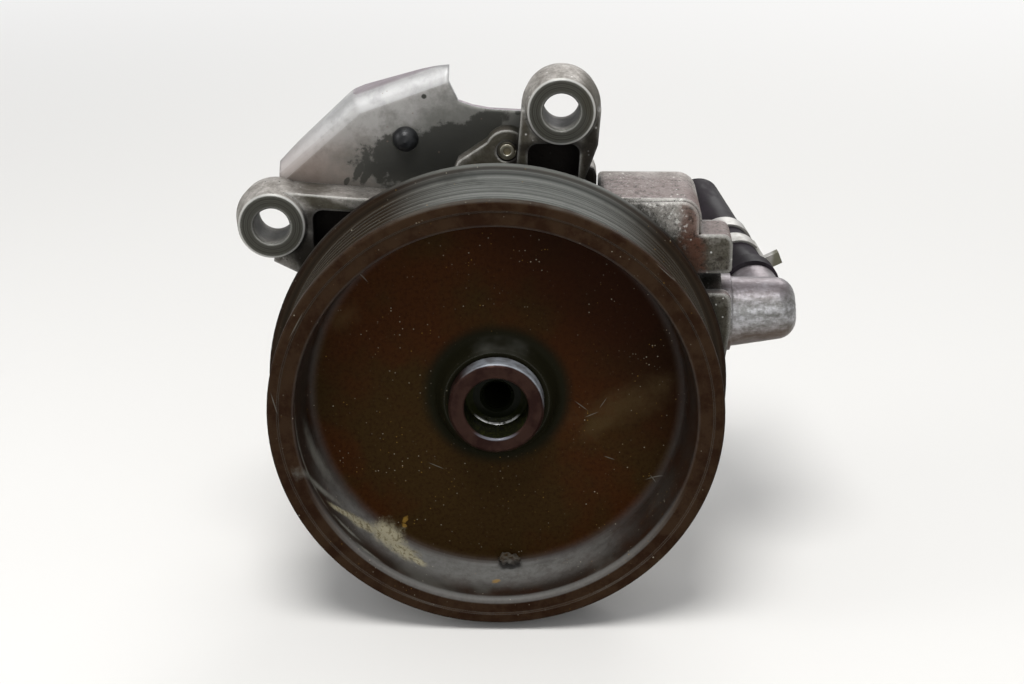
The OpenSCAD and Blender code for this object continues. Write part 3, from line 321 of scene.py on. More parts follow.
# patch: a ragged-edged spot, by its centre, length, height and turn on two flat distances
def makePatch():
    tree, given, result = startGroup("patch", [
        ("Vector", "Vector", None), ("Along", "Float", 0.0), ("Up", "Float", 0.0), ("CentreAlong", "Float", 0.0),
        ("CentreUp", "Float", 0.0), ("Length", "Float", mm(10)), ("Height", "Float", mm(10)),
        ("Turn", "Float", 0.0), ("Ragged", "Float", 0.5), ("Detail", "Float", 300.0), ("Soft", "Float", 0.2)],
        [("Mask", "Float")])
    u = calc(tree, "SUBTRACT", given["Along"], given["CentreAlong"])
    v = calc(tree, "SUBTRACT", given["Up"], given["CentreUp"])
    cosine = calc(tree, "COSINE", given["Turn"])
    sine = calc(tree, "SINE", given["Turn"])
    along = plus(tree, times(tree, u, cosine), times(tree, v, sine))
    across = calc(tree, "SUBTRACT", times(tree, v, cosine), times(tree, u, sine))
    along = calc(tree, "DIVIDE", along, times(tree, given["Length"], 0.5))
    across = calc(tree, "DIVIDE", across, times(tree, given["Height"], 0.5))
    distance = calc(tree, "SQRT", plus(tree, calc(tree, "POWER", along, 2.0), calc(tree, "POWER", across, 2.0)))
    edge = calc(tree, "SUBTRACT", noise(tree, given["Vector"], given["Detail"], 5, 0.7), 0.5)
    distance = plus(tree, distance, times(tree, edge, times(tree, given["Ragged"], 4.0)))
    tree.links.new(step(tree, distance, plus(tree, given["Soft"], 0.95),
        calc(tree, "SUBTRACT", 0.95, given["Soft"])), result["Mask"])
    return tree


# specks: grit of random size, thinly scattered
def makeSpecks():
    tree, given, result = startGroup("specks",
        [("Vector", "Vector", None), ("Scale", "Float", 300.0), ("Amount", "Float", 0.1), ("Size", "Float", 0.2)],
        [("Mask", "Float"), ("Tone", "Float")])
    cells = tree.nodes.new("ShaderNodeTexVoronoi")
    tree.links.new(given["Vector"], cells.inputs["Vector"])
    tree.links.new(given["Scale"], cells.inputs["Scale"])
    chance = tree.nodes.new("ShaderNodeSeparateColor")
    tree.links.new(cells.outputs["Color"], chance.inputs[0])
    chosen = calc(tree, "LESS_THAN", chance.outputs[0], given["Amount"])
    reach = times(tree, given["Size"], plus(tree, chance.outputs[1], 0.3))
    near = step(tree, cells.outputs["Distance"], reach, times(tree, reach, 0.35))
    tree.links.new(times(tree, chosen, near), result["Mask"])
    tree.links.new(chance.outputs[2], result["Tone"])
    return tree


# turnedMarks: fine rings round an axis along Y, as a lathe or a face mill leaves them
def makeTurnedMarks():
    tree, given, result = startGroup("turnedMarks",
        [("Vector", "Vector", None), ("X", "Float", 0.0), ("Z", "Float", 0.0), ("Rings", "Float", 4000.0)],
        [("Height", "Float"), ("Radius", "Float")])
    split = tree.nodes.new("ShaderNodeSeparateXYZ")
    tree.links.new(given["Vector"], split.inputs[0])
    x = calc(tree, "SUBTRACT", split.outputs["X"], given["X"])
    z = calc(tree, "SUBTRACT", split.outputs["Z"], given["Z"])
    radius = calc(tree, "SQRT", plus(tree, calc(tree, "POWER", x, 2.0), calc(tree, "POWER", z, 2.0)))
    depth = times(tree, split.outputs["Y"], 0.7)
    tree.links.new(noise(tree, plus(tree, radius, depth), given["Rings"], 2, 0.6, "1D"), result["Height"])
    tree.links.new(radius, result["Radius"])
    return tree


# grimeAndShade: a corner mask from ambient occlusion for grime and painted shade in corners, soft dirt patches, and
# a mask of what faces up
def makeGrimeAndShade():
    tree, given, result = startGroup("grimeAndShade",
        [("Vector", "Vector", None), ("Reach", "Float", mm(6)), ("Patches", "Float", 60.0)],
        [("Corners", "Float"), ("Patchy", "Float"), ("FacingUp", "Float")])
    shade = tree.nodes.new("ShaderNodeAmbientOcclusion")
    shade.samples = 6
    tree.links.new(given["Reach"], shade.inputs["Distance"])
    # Corners: ambient occlusion, which paints shade into corners along with grime
    tree.links.new(step(tree, shade.outputs["AO"], 0.85, 0.35), result["Corners"])
    tree.links.new(step(tree, noise(tree, given["Vector"], given["Patches"], 4, 0.6), 0.42, 0.62), result["Patchy"])
    normal = tree.nodes.new("ShaderNodeSeparateXYZ")
    tree.links.new(tree.nodes.new("ShaderNodeNewGeometry").outputs["Normal"], normal.inputs[0])
    tree.links.new(step(tree, normal.outputs["Z"], 0.3, 0.95), result["FacingUp"])
    return tree


edgeWear = makeEdgeWear()
castSkin = makeCastSkin()
patch = makePatch()
specks = makeSpecks()
turnedMarks = makeTurnedMarks()
grimeAndShade = makeGrimeAndShade()
print("shared effects made")


def startMaterial(name, metallic=0.0):
    material = bpy.data.materials.new(name)
    material.use_nodes = True
    tree = material.node_tree
    surface = tree.nodes["Principled BSDF"]
    surface.inputs["Metallic"].default_value = metallic
    place = tree.nodes.new("ShaderNodeTexCoord").outputs["Object"]
    return material, tree, surface, place


def addRelief(tree, surface, height, depth, strength=1.0, normal=None):
    bump = tree.nodes.new("ShaderNodeBump")
    bump.inputs["Distance"].default_value = depth
    bump.inputs["Strength"].default_value = strength
    feed(tree, bump.inputs["Height"], height)
    feed(tree, bump.inputs["Normal"], normal)
    tree.links.new(bump.outputs[0], surface.inputs["Normal"])


def dress(material, *names):
    for name in names:
        slots = nodes[name].data.materials
        slots.clear()
        slots.append(material)


def splitPlace(tree, place):
    split = tree.nodes.new("ShaderNodeSeparateXYZ")
    tree.links.new(place, split.inputs[0])
    return split.outputs["X"], split.outputs["Y"], split.outputs["Z"]


def paintSpots(tree, place, along, up, spots, ragged, detail, soft):  # one mask from a list of spots, mm and degrees
    mask = None
    for centreAlong, centreUp, length, height, turn in spots:
        one = useGroup(tree, patch, Vector=place, Along=along, Up=up, CentreAlong=mm(centreAlong),
            CentreUp=mm(centreUp), Length=mm(length), Height=mm(height), Turn=math.radians(turn), Ragged=ragged,
            Detail=detail, Soft=soft)["Mask"]
        mask = one if mask is None else calc(tree, "MAXIMUM", mask, one)
    return mask


# cast aluminium of the housing and cover: gritty grey, dirty low down, corners darkened with grime and painted
# shade, tops darker and pinkish with dust, painted shade and a painted reflection, reddish right sides from rust and
# a painted reflection, pockets near-black with grime and painted shade, turned ear faces
castSettings = {
    "light": photoColour(176, 172, 166),
    "middle": photoColour(120, 116, 109),
    "dark": photoColour(58, 56, 47),
    "grimeAndShadeColour": photoColour(24, 24, 18),
    "film": photoColour(54, 50, 38),
    "soot": photoColour(16, 11, 8),
    "rustAndReflection": photoColour(84, 50, 36),
    "machined": photoColour(44, 43, 39),
    "machinedLine": photoColour(76, 76, 70),
    "worn": photoColour(214, 213, 208),
    "earPlaces": [(mm(18.2), mm(80.8)), (mm(-65.7), mm(46.3))],
    "earRadius": (mm(9.9), mm(9.6)),
    "earRim": (mm(9.0), mm(9.4)),
    "earFaceSpan": (mm(27), mm(26.5)),
    "blockSpan": (mm(27), mm(31)),       # x: right of this the casting is rougher and dirtier
    "blockDepth": (mm(66), mm(52)),      # y, ragged by
    "depthRaggedBy": mm(16),
    "blockHeight": (mm(60), mm(56)),
    "blockWorn": (mm(45.5), mm(49.5)),   # z, ragged by
    "blockDirty": (mm(48.5), mm(44.5)),
    "heightRaggedBy": mm(6),
    "frontSpan": (mm(41), mm(39)),
    "fleckSpan": (mm(57), mm(53)),
    "rightSideDepth": (mm(56), mm(42)),
    "rustAndReflectionDepth": (mm(40), mm(36)),
    "pocketFrom": (mm(28.3), mm(29.8)),
    "pocketTo": (mm(38), mm(37.5)),
    "edgeReach": (mm(1.5), mm(2.4)),     # on the smoother and the rougher parts
    "cornerReach": mm(12),
    "relief": mm(0.2),
    "specular": 0.2,
    "pockets": [(-42, 37, 44, 34, 20), (16, 58, 30, 40, 0)],
    "filmSpots": [
        # mm across and up on the front, length, height, turn in degrees
        (27, 62, 34, 8, 90), (3, 66, 26, 24, 0), (-8, 58, 24, 14, 40), (27.5, 82, 18, 6, -70), (-54, 34, 20, 9, -62),
        (64, 16, 16, 22, 0), (63, 30, 14, 8, 0), (-47, 51, 26, 5, -22), (7.5, 66, 30, 5, 88),
    ],
    "sootSpots": [(27.5, 64, 28, 7, 90), (-53, 38, 16, 8, -62), (17, 69.5, 24, 5, 0), (-52.0, 46.5, 13, 9, -35),
                  (-55.5, 36.5, 12, 9, -30)],
    "rustAndReflectionSpots": [(56.2, 42, 8.0, 30, 0), (58.4, 28, 6, 26, 0), (53.5, 36, 12, 12, 0)],
    "topDustAndShade": photoColour(102, 88, 86),
    "fleck": photoColour(222, 220, 214),
    "stain": photoColour(34, 28, 22),
}


def makeCastAluminium(name, settings, ears=False):
    material, tree, surface, place = startMaterial(name, 0.5)
    surface.inputs["Specular IOR Level"].default_value = settings["specular"]
    x, y, z = splitPlace(tree, place)
    normal = splitPlace(tree, tree.nodes.new("ShaderNodeNewGeometry").outputs["Normal"])
    rough = 0.5
    if ears:
        raggedDepth = plus(tree, y, times(tree, noise(tree, place, 90.0, 5, 0.7), settings["depthRaggedBy"]))
        rough = times(tree, step(tree, x, *settings["blockSpan"]),
            times(tree, step(tree, raggedDepth, *settings["blockDepth"]), step(tree, z, *settings["blockHeight"])))
    skin = useGroup(tree, castSkin, Vector=place, Grain=1300.0)
    wear = useGroup(tree, edgeWear, Distance=mixValue(tree, rough, *settings["edgeReach"]))
    dirt = useGroup(tree, grimeAndShade, Vector=place, Reach=settings["cornerReach"], Patches=48.0)
    cloudy = noise(tree, place, 210.0, 6, 0.72)
    colour = mixColour(tree, step(tree, cloudy, 0.3, 0.68), settings["middle"], settings["light"])
    grain = times(tree, skin["Mottle"], mixValue(tree, rough, 0.35, 0.75))
    colour = mixColour(tree, grain, colour, settings["dark"])
    sideways = rest(tree, dirt["FacingUp"])
    film = times(tree, dirt["Patchy"], sideways, mixValue(tree, rough, 0.35, 0.85))
    if ears:
        raggedHeight = plus(tree, z, times(tree, noise(tree, place, 160.0, 4, 0.7), settings["heightRaggedBy"]))
        blockTop = times(tree, rough, step(tree, raggedHeight, *settings["blockWorn"]))
        blockLow = times(tree, rough, step(tree, raggedHeight, *settings["blockDirty"]))
        film = calc(tree, "MAXIMUM", times(tree, film, rest(tree, blockTop)),
            times(tree, blockLow, sideways, mixValue(tree, cloudy, 0.55, 1.0)))
        colour = mixColour(tree, times(tree, blockTop, mixValue(tree, cloudy, 0.0, 0.9)), colour, settings["light"])
        spots = paintSpots(tree, place, x, z, settings["filmSpots"], 0.2, 220.0, 0.4)
        spots = times(tree, spots, step(tree, y, *settings["frontSpan"]))
        film = calc(tree, "MAXIMUM", film, times(tree, spots, 0.9))
    colour = mixColour(tree, film, colour, settings["film"])
    if ears:
        blotches = noise(tree, place, 520.0, 6, 0.8)
        stained = times(tree, step(tree, blotches, 0.5, 0.62), rough, 0.75)
        flecked = times(tree, step(tree, noise(tree, place, 760.0, 5, 0.75), 0.54, 0.64), rough)
        flecked = times(tree, flecked, mixValue(tree, blockTop, 0.2, 0.8))
        flecked = times(tree, flecked, step(tree, x, *settings["fleckSpan"]))
    # rust and a painted red reflection: the right-facing sides of the block are reddish brown
    rightSide = times(tree, step(tree, normal[0], 0.3, 0.8), times(tree, rough, 0.7))
    rightSide = times(tree, rightSide, step(tree, raggedDepth, *settings["rightSideDepth"]) if ears else 0.4)
    rightSide = times(tree, rightSide, mixValue(tree, cloudy, 0.2, 1.2))
    colour = mixColour(tree, rightSide, colour, settings["rustAndReflection"])
    if ears:
        # rust and a painted red reflection, in spots at the right of the block
        rustAndReflection = paintSpots(tree, place, x, z, settings["rustAndReflectionSpots"], 0.3, 260.0, 0.4)
        rustAndReflection = times(tree, rustAndReflection, step(tree, y, *settings["rustAndReflectionDepth"]))
        colour = mixColour(tree, times(tree, rustAndReflection, 0.8), colour, settings["rustAndReflection"])
    # dust, painted shade and a painted pink reflection: faces that look up are darker and pinkish
    colour = mixColour(tree, times(tree, dirt["FacingUp"], mixValue(tree, rough, 0.12, 0.8)), colour,
        settings["topDustAndShade"])
    if ears:
        colour = mixColour(tree, stained, colour, settings["stain"])
        colour = mixColour(tree, times(tree, flecked, mixValue(tree, dirt["FacingUp"], 1.0, 0.25)), colour,
            settings["fleck"])
    bare = times(tree, wear["Mask"], rest(tree, dirt["Corners"]))
    colour = mixColour(tree, times(tree, bare, 0.45), colour, settings["worn"])
    grit = useGroup(tree, specks, Vector=place, Scale=1000.0, Amount=0.16, Size=0.34)
    colour = mixColour(tree, times(tree, grit["Mask"], 0.75), colour,
        mixColour(tree, step(tree, grit["Tone"], 0.5, 0.6), settings["grimeAndShadeColour"], settings["worn"]))
    # grime and painted shade: the corners darkened nearly to black
    colour = mixColour(tree, times(tree, dirt["Corners"], 0.95), colour, settings["grimeAndShadeColour"])
    if ears:
        # black grime and painted shade: the pockets and soot spots are near-black
        pocketShadeAndSoot = paintSpots(tree, place, x, z, settings["pockets"], 0.05, 90.0, 0.1)
        pocketShadeAndSoot = times(tree, pocketShadeAndSoot, step(tree, y, *settings["pocketFrom"]))
        pocketShadeAndSoot = times(tree, pocketShadeAndSoot, step(tree, y, *settings["pocketTo"]))
        soot = paintSpots(tree, place, x, z, settings["sootSpots"], 0.15, 240.0, 0.4)
        soot = times(tree, soot, step(tree, y, *settings["frontSpan"]), 0.85)
        pocketShadeAndSoot = calc(tree, "MAXIMUM", pocketShadeAndSoot, soot)
        colour = mixColour(tree, times(tree, pocketShadeAndSoot, 0.94), colour, settings["soot"])
    height = skin["Height"]
    roughness = mixValue(tree, cloudy, 0.7, 0.48)
    if ears:
        front = step(tree, y, *settings["earFaceSpan"])
        for earX, earZ in settings["earPlaces"]:
            rings = useGroup(tree, turnedMarks, Vector=place, X=earX, Z=earZ, Rings=2400.0)
            face = times(tree, front, step(tree, rings["Radius"], *settings["earRadius"]))
            tone = mixColour(tree, step(tree, rings["Height"], 0.35, 0.7), settings["machined"],
                settings["machinedLine"])
            tone = mixColour(tree, times(tree, film, 0.5), tone, settings["film"])
            rim = step(tree, rings["Radius"], *settings["earRim"])
            tone = mixColour(tree, times(tree, rim, 0.5), tone, settings["worn"])
            tone = mixColour(tree, times(tree, wear["Mask"], 0.45), tone, settings["worn"])
            colour = mixColour(tree, face, colour, tone)
            height = mixValue(tree, face, height, times(tree, rings["Height"], 0.5))
            roughness = mixValue(tree, face, roughness, 0.4)
    tree.links.new(colour, surface.inputs["Base Color"])
    tree.links.new(roughness, surface.inputs["Roughness"])
    addRelief(tree, surface, height, settings["relief"], 0.8, wear["Normal"])
    return material


# dark moulding of the pulley: brown web, greyer rim, grey belt track, grit, scuffs and a smear of dry clay, with
# painted highlights on the top of the belt, along the cove and on the lower lip, and a painted shadow on the web
# under the rim
pulleySettings = {
    "web": photoColour(52, 28, 10),
    "webOlive": photoColour(46, 33, 14),
    "webSpecksAndShadow": photoColour(30, 13, 6),
    "rim": photoColour(46, 33, 22),
    "rimBrown": photoColour(34, 20, 11),
    "wall": photoColour(34, 27, 22),
    "collar": photoColour(23, 22, 13),
    "paintedHighlight": photoColour(104, 103, 100),
    "smudge": photoColour(104, 88, 58),
    "belt": photoColour(124, 125, 121),
    "beltDark": photoColour(66, 67, 64),
    "beltShade": photoColour(50, 42, 33),
    "beltShadeDark": photoColour(33, 27, 21),
    "flange": photoColour(96, 97, 93),
    "flangeShade": photoColour(28, 22, 18),
    "dust": photoColour(104, 104, 98),
    "grit": photoColour(196, 188, 168),
    "ochre": photoColour(150, 116, 52),
    "clay": photoColour(142, 136, 114),
    "clayCrumb": photoColour(104, 96, 74),
    "scuff": photoColour(132, 132, 124),
    "beltFront": (mm(-5.4), mm(-4.9)),
    "beltBack": (mm(18.4), mm(17.9)),
    "flangeFront": (mm(18.0), mm(18.6)),
    "outsideRadius": (mm(60.8), mm(61.2)),
    "collarEdge": (mm(23.5), mm(19.0)),
    "webRadius": mm(55.6),
    "webEdge": (mm(52.4), mm(55.0)),
    "wallEdge": (mm(57.3), mm(57.6)),
    "upRightSpan": (mm(12), mm(44)),
    "dishEdge": (mm(58.6), mm(58.0)),
    "webBack": (mm(12), mm(11.4)),
    "webFront": (mm(10.4), mm(10.9)),
    "highlightInner": (mm(12.6), mm(7.6)),   # along the wall
    "highlightOuter": (mm(-4.5), mm(5.5)),
    "lipDepth": (mm(-5.4), mm(-6.6)),
    "lipOuter": (mm(59.0), mm(58.4)),
    "lipInner": (mm(56), mm(56.8)),
    "glossInner": (mm(51.6), mm(54.6)),
    "glossOuter": (mm(58.2), mm(57.6)),
    "edgeReach": mm(0.6),
    "coveReach": mm(2.4),
    "cornerReach": mm(9),
    "relief": mm(0.07),
    "specular": 0.02,
    "coatRoughness": 0.42,
    "clayMiddle": math.radians(226),    # where the smear sits round the rim
    "claySpots": [
        # mm round the wall, mm of depth, length, height, turn in degrees
        (-9, 1.6, 13, 2.2, 34), (-1, 5.2, 13, 4.6, 22), (7.5, 8.6, 12, 10.5, 30), (13.5, 5.6, 11, 7.0, -4),
        (18.5, 4.2, 6, 3.4, -12),
    ],
    "ochreSpots": [(9.6, 17.4, 1.6, 2.8, 0), (42.5, 1.8, 2.6, 1.8, 20), (10.6, 15.8, 1.6, 1.2, 0)],
    "smudges": [(37, -3, 26, 9, 24), (30, -9, 12, 6, 30), (47, 3, 9, 6, 20), (-44, 24, 8, 5, 40)],
    "scuffs": [
        (-31, -5.4, 28, 0.8, 2), (-20, -2, 18, 2.0, 32), (-27, 6, 18, 5, 12), (-6, -3.6, 9, 1.2, 4),
        (3, -5.6, 7, 1.0, 0),
    ],
    "hairs": [
        # mm across and up on the front, length, width, turn in degrees
        (-62.6, 4.8, 6.0, 0.3, 104), (-55.5, 28.5, 8.0, 0.25, 62), (-18.0, -22.9, 4.6, 0.3, -24),
        (46.0, -26.5, 2.4, 0.3, -50), (47.0, 44.5, 7.0, 0.2, -44), (-38.0, 36.0, 3.5, 0.35, -50),
        (24.6, -3.4, 4.4, 0.3, -38), (27.6, -6.2, 4.0, 0.3, 24), (31.0, -2.4, 3.4, 0.25, 58),
        (46.5, -26.0, 5.0, 0.3, 20), (33.0, -20.0, 3.0, 0.3, -20),
    ],
}


def makePulleyMoulding(name, settings):
    material, tree, surface, place = startMaterial(name)
    surface.inputs["Specular IOR Level"].default_value = settings["specular"]
    surface.inputs["Coat Roughness"].default_value = settings["coatRoughness"]
    x, y, z = splitPlace(tree, place)
    rings = useGroup(tree, turnedMarks, Vector=place, Rings=800.0)
    fineRings = useGroup(tree, turnedMarks, Vector=place, Rings=5200.0)
    radius = rings["Radius"]
    wear = useGroup(tree, edgeWear, Distance=settings["edgeReach"])
    dirt = useGroup(tree, grimeAndShade, Vector=place, Reach=settings["cornerReach"], Patches=34.0)
    speckle = noise(tree, place, 900.0, 4, 0.7)

    web = mixColour(tree, step(tree, noise(tree, place, 34.0, 4), 0.4, 0.6), settings["web"], settings["webOlive"])
    web = mixColour(tree, times(tree, step(tree, speckle, 0.4, 0.75), 0.6), web, settings["webSpecksAndShadow"])
    # painted shadow: the web is darker towards the upper right, under the rim
    upRight = plus(tree, times(tree, x, 0.75), times(tree, z, 0.65))
    web = mixColour(tree, times(tree, step(tree, upRight, *settings["upRightSpan"]), 0.75), web,
        settings["webSpecksAndShadow"])
    nearHub = step(tree, radius, *settings["collarEdge"])
    web = mixColour(tree, nearHub, web, settings["collar"])
    rim = mixColour(tree, step(tree, noise(tree, place, 160.0, 5, 0.7), 0.4, 0.65), settings["rim"],
        settings["rimBrown"])
    wall = mixColour(tree, step(tree, noise(tree, place, 120.0, 4), 0.4, 0.65), settings["wall"],
        settings["rimBrown"])
    colour = mixColour(tree, step(tree, radius, *settings["webEdge"]), web, wall)
    colour = mixColour(tree, step(tree, radius, *settings["wallEdge"]), colour, rim)

    outside = step(tree, radius, *settings["outsideRadius"])
    onBelt = times(tree, outside,
        times(tree, step(tree, y, *settings["beltFront"]), step(tree, y, *settings["beltBack"])))
    behind = times(tree, outside, step(tree, y, *settings["flangeFront"]))
    streaks = noise(tree, y, 3400.0, 3, 0.8, "1D")
    broadStreaks = noise(tree, y, 620.0, 1, 0.5, "1D")
    tone = step(tree, plus(tree, times(tree, streaks, 0.6), times(tree, broadStreaks, 0.5)), 0.38, 0.68)
    belt = mixColour(tree, tone, settings["beltDark"], settings["belt"])
    belt = mixColour(tree, step(tree, noise(tree, place, 60.0, 4), 0.5, 0.75), belt, settings["beltDark"])
    shadedBelt = mixColour(tree, tone, settings["beltShadeDark"], settings["beltShade"])
    across = calc(tree, "DIVIDE", x, radius)
    upward = calc(tree, "DIVIDE", z, radius)
    # painted highlight: the top of the belt and of its flange is lighter, and the rest is in the darker shaded
    # colours
    beltHighlight = step(tree, plus(tree, upward, times(tree, across, 0.15)), 0.78, 1.02)
    colour = mixColour(tree, onBelt, colour, mixColour(tree, beltHighlight, shadedBelt, belt))
    colour = mixColour(tree, behind, colour, mixColour(tree, beltHighlight, settings["flangeShade"], settings["flange"]))

    dust = times(tree, dirt["FacingUp"], dirt["Patchy"], 0.3)
    colour = mixColour(tree, dust, colour, settings["dust"])
    inward = calc(tree, "MAXIMUM", calc(tree, "SUBTRACT", settings["webRadius"], radius), 0.0)
    alongWall = plus(tree, y, inward)      # runs from the lip over the wall and cove to the web
    inDish = times(tree, step(tree, radius, *settings["dishEdge"]), step(tree, y, *settings["webBack"]))
    # painted highlight: a light band along the cove and wall, low down in the dish
    low = plus(tree, upward, times(tree, across, 0.25))
    low = times(tree, inDish, step(tree, low, -0.38, -1.02))
    paintedHighlight = times(tree, step(tree, alongWall, *settings["highlightInner"]),
        step(tree, alongWall, *settings["highlightOuter"]))
    mottled = step(tree, noise(tree, place, 380.0, 6, 0.78), 0.34, 0.62)
    paintedHighlight = times(tree, paintedHighlight, low, mixValue(tree, mottled, 0.55, 0.98))
    colour = mixColour(tree, paintedHighlight, colour, settings["paintedHighlight"])
    # painted highlight: a light line on the lower part of the lip
    lipHighlight = times(tree, step(tree, y, *settings["lipDepth"]), step(tree, radius, *settings["lipOuter"]))
    lipHighlight = times(tree, lipHighlight, step(tree, radius, *settings["lipInner"]), step(tree, upward, -0.3, -0.9))
    colour = mixColour(tree, times(tree, lipHighlight, mixValue(tree, speckle, 0.4, 0.9)), colour, settings["paintedHighlight"])
    bare = times(tree, wear["Mask"], rest(tree, dirt["Corners"]))
    colour = mixColour(tree, times(tree, bare, 0.4), colour, settings["dust"])
    beforeWebBack = step(tree, y, *settings["webBack"])
    flat = times(tree, step(tree, y, *settings["webFront"]), beforeWebBack)
    smudges = times(tree, paintSpots(tree, place, x, z, settings["smudges"], 0.6, 190.0, 0.9), flat)
    smudges = times(tree, smudges, mixValue(tree, speckle, 0.0, 0.32))
    colour = mixColour(tree, smudges, colour, settings["smudge"])
    hairs = paintSpots(tree, place, x, z, settings["hairs"], 0.12, 240.0, 0.4)
    hairs = times(tree, hairs, beforeWebBack)
    colour = mixColour(tree, times(tree, hairs, 0.3), colour, settings["scuff"])

    angle = calc(tree, "ARCTAN2", z, x)
    angle = calc(tree, "SUBTRACT", calc(tree, "WRAP", angle, 2 * math.pi, 0.0), settings["clayMiddle"])
    wayRound = times(tree, angle, settings["webRadius"])
    clay = paintSpots(tree, place, wayRound, alongWall, settings["claySpots"], 0.34, 330.0, 0.45)
    scuffs = paintSpots(tree, place, wayRound, alongWall, settings["scuffs"], 0.4, 420.0, 0.8)
    scuffs = times(tree, calc(tree, "SUBTRACT", scuffs, outside, clamp=True), mixValue(tree, speckle, 0.1, 0.8))
    colour = mixColour(tree, times(tree, scuffs, beforeWebBack), colour, settings["scuff"])
    powder = step(tree, noise(tree, place, 1100.0, 3, 0.7), 0.3, 0.52)
    clay = times(tree, clay, inDish, mixValue(tree, clay, powder, 1.0))
    crumbs = step(tree, noise(tree, place, 700.0, 4, 0.7), 0.5, 0.6)
    colour = mixColour(tree, times(tree, clay, 0.92), colour,
        mixColour(tree, crumbs, settings["clay"], settings["clayCrumb"]))
    ochre = paintSpots(tree, place, wayRound, alongWall, settings["ochreSpots"], 0.5, 700.0, 0.3)
    colour = mixColour(tree, times(tree, ochre, 0.55, beforeWebBack), colour, settings["ochre"])

    clusters = step(tree, noise(tree, place, 75.0, 4, 0.65), 0.48, 0.62)
    grit = useGroup(tree, specks, Vector=place, Scale=1250.0, Amount=0.14, Size=0.3)
    grains = mixColour(tree, step(tree, grit["Tone"], 0.45, 0.6), settings["grit"], settings["ochre"])
    shown = times(tree, grit["Mask"], mixValue(tree, clusters, 0.02, 0.42))
    colour = mixColour(tree, shown, colour, grains)
    tree.links.new(colour, surface.inputs["Base Color"])
    roughness = mixValue(tree, dirt["Patchy"], 0.4, 0.52)
    roughness = mixValue(tree, calc(tree, "MAXIMUM", clay, times(tree, shown, 0.6)), roughness, 0.9)
    tree.links.new(roughness, surface.inputs["Roughness"])
    gloss = step(tree, radius, *settings["glossInner"])
    gloss = times(tree, gloss, step(tree, radius, *settings["glossOuter"]))
    gloss = times(tree, gloss, calc(tree, "SUBTRACT", 0.4, times(tree, clay, 0.4)))
    tree.links.new(times(tree, gloss, mixValue(tree, speckle, 1.3, 0.5)), surface.inputs["Coat Weight"])
    height = plus(tree, times(tree, fineRings["Height"], 0.25), times(tree, speckle, 0.6))
    height = plus(tree, height, times(tree, clay, 3.0))
    height = plus(tree, height, grit["Mask"])
    softCove = useGroup(tree, edgeWear,
        Distance=mixValue(tree, inDish, settings["edgeReach"], settings["coveReach"]))
    addRelief(tree, surface, height, settings["relief"], 0.7, softCove["Normal"])
    return material


# hub: oily dark steel face, bare grey side shown on its top as a painted highlight, a painted highlight on the lower
# edge of the mouth, black inside
hubSettings = {
    "face": photoColour(47, 32, 27),
    "faceDark": photoColour(35, 21, 18),
    "side": photoColour(140, 144, 149),
    "mouthHighlight": photoColour(92, 92, 98),
    "inside": photoColour(14, 14, 8),
    "insideOil": photoColour(44, 46, 16),
    "sideEdge": (mm(13.3), mm(13.6)),
    "litSpan": (mm(4), mm(13)),          # up, and a little to the right
    "mouthWall": (mm(9.5), mm(9.4)),
    "mouthDepth": (mm(0.3), mm(0.9)),
    "dropSpan": (mm(0), mm(-6)),
    "mouthEdgeRadius": (mm(10.0), mm(9.8)),
    "mouthEdgeDepth": (mm(0.75), mm(0.45)),
    "mouthEdgeLow": (mm(-6.8), mm(-9.4)),
    "edgeReach": mm(0.4),
    "cornerReach": mm(4),
    "relief": mm(0.03),
    "specular": 0.03,
}


def makeHubSteel(name, settings):
    material, tree, surface, place = startMaterial(name, 0.3)
    surface.inputs["Specular IOR Level"].default_value = settings["specular"]
    x, y, z = splitPlace(tree, place)
    rings = useGroup(tree, turnedMarks, Vector=place, Rings=1800.0)
    wear = useGroup(tree, edgeWear, Distance=settings["edgeReach"])
    dirt = useGroup(tree, grimeAndShade, Vector=place, Reach=settings["cornerReach"], Patches=160.0)
    colour = mixColour(tree, dirt["Patchy"], settings["face"], settings["faceDark"])
    # painted highlight: the bare grey side is shown only on the top of the hub, a little to the right
    side = step(tree, rings["Radius"], *settings["sideEdge"])
    side = times(tree, side, step(tree, plus(tree, z, times(tree, x, 0.4)), *settings["litSpan"]))
    bare = mixColour(tree, times(tree, step(tree, noise(tree, place, 300.0, 3), 0.4, 0.65), 0.5), settings["side"],
        settings["face"])
    colour = mixColour(tree, side, colour, bare)
    inside = times(tree, step(tree, rings["Radius"], *settings["mouthWall"]),
        step(tree, y, *settings["mouthDepth"]))
    drops = times(tree, step(tree, noise(tree, place, 1500.0, 4, 0.7), 0.5, 0.6),
        step(tree, z, *settings["dropSpan"]))
    colour = mixColour(tree, inside, colour, mixColour(tree, drops, settings["inside"], settings["insideOil"]))
    # painted highlight: a light edge on the lower rim of the mouth
    edge = times(tree, step(tree, rings["Radius"], *settings["mouthEdgeRadius"]),
        step(tree, y, *settings["mouthEdgeDepth"]))
    edge = times(tree, edge, step(tree, z, *settings["mouthEdgeLow"]))
    colour = mixColour(tree, edge, colour, settings["mouthHighlight"])
    tree.links.new(colour, surface.inputs["Base Color"])
    roughness = mixValue(tree, dirt["Patchy"], 0.3, 0.5)
    tree.links.new(mixValue(tree, inside, mixValue(tree, side, roughness, 0.5), 0.6), surface.inputs["Roughness"])
    addRelief(tree, surface, rings["Height"], settings["relief"], 0.6, wear["Normal"])
    return material


# shaft: ground steel, its front end under dark oil
shaftSettings = {
    "steel": photoColour(176, 176, 176),
    "stain": photoColour(112, 106, 98),
    "oily": photoColour(16, 18, 9),
    "oilySpan": (mm(12.5), mm(11.5)),
    "boreRadius": (mm(4.5), mm(4.4)),
    "boreDepth": (mm(34), mm(32)),
    "cornerReach": mm(4),
    "relief": mm(0.02),
    "specular": 0.05,
}


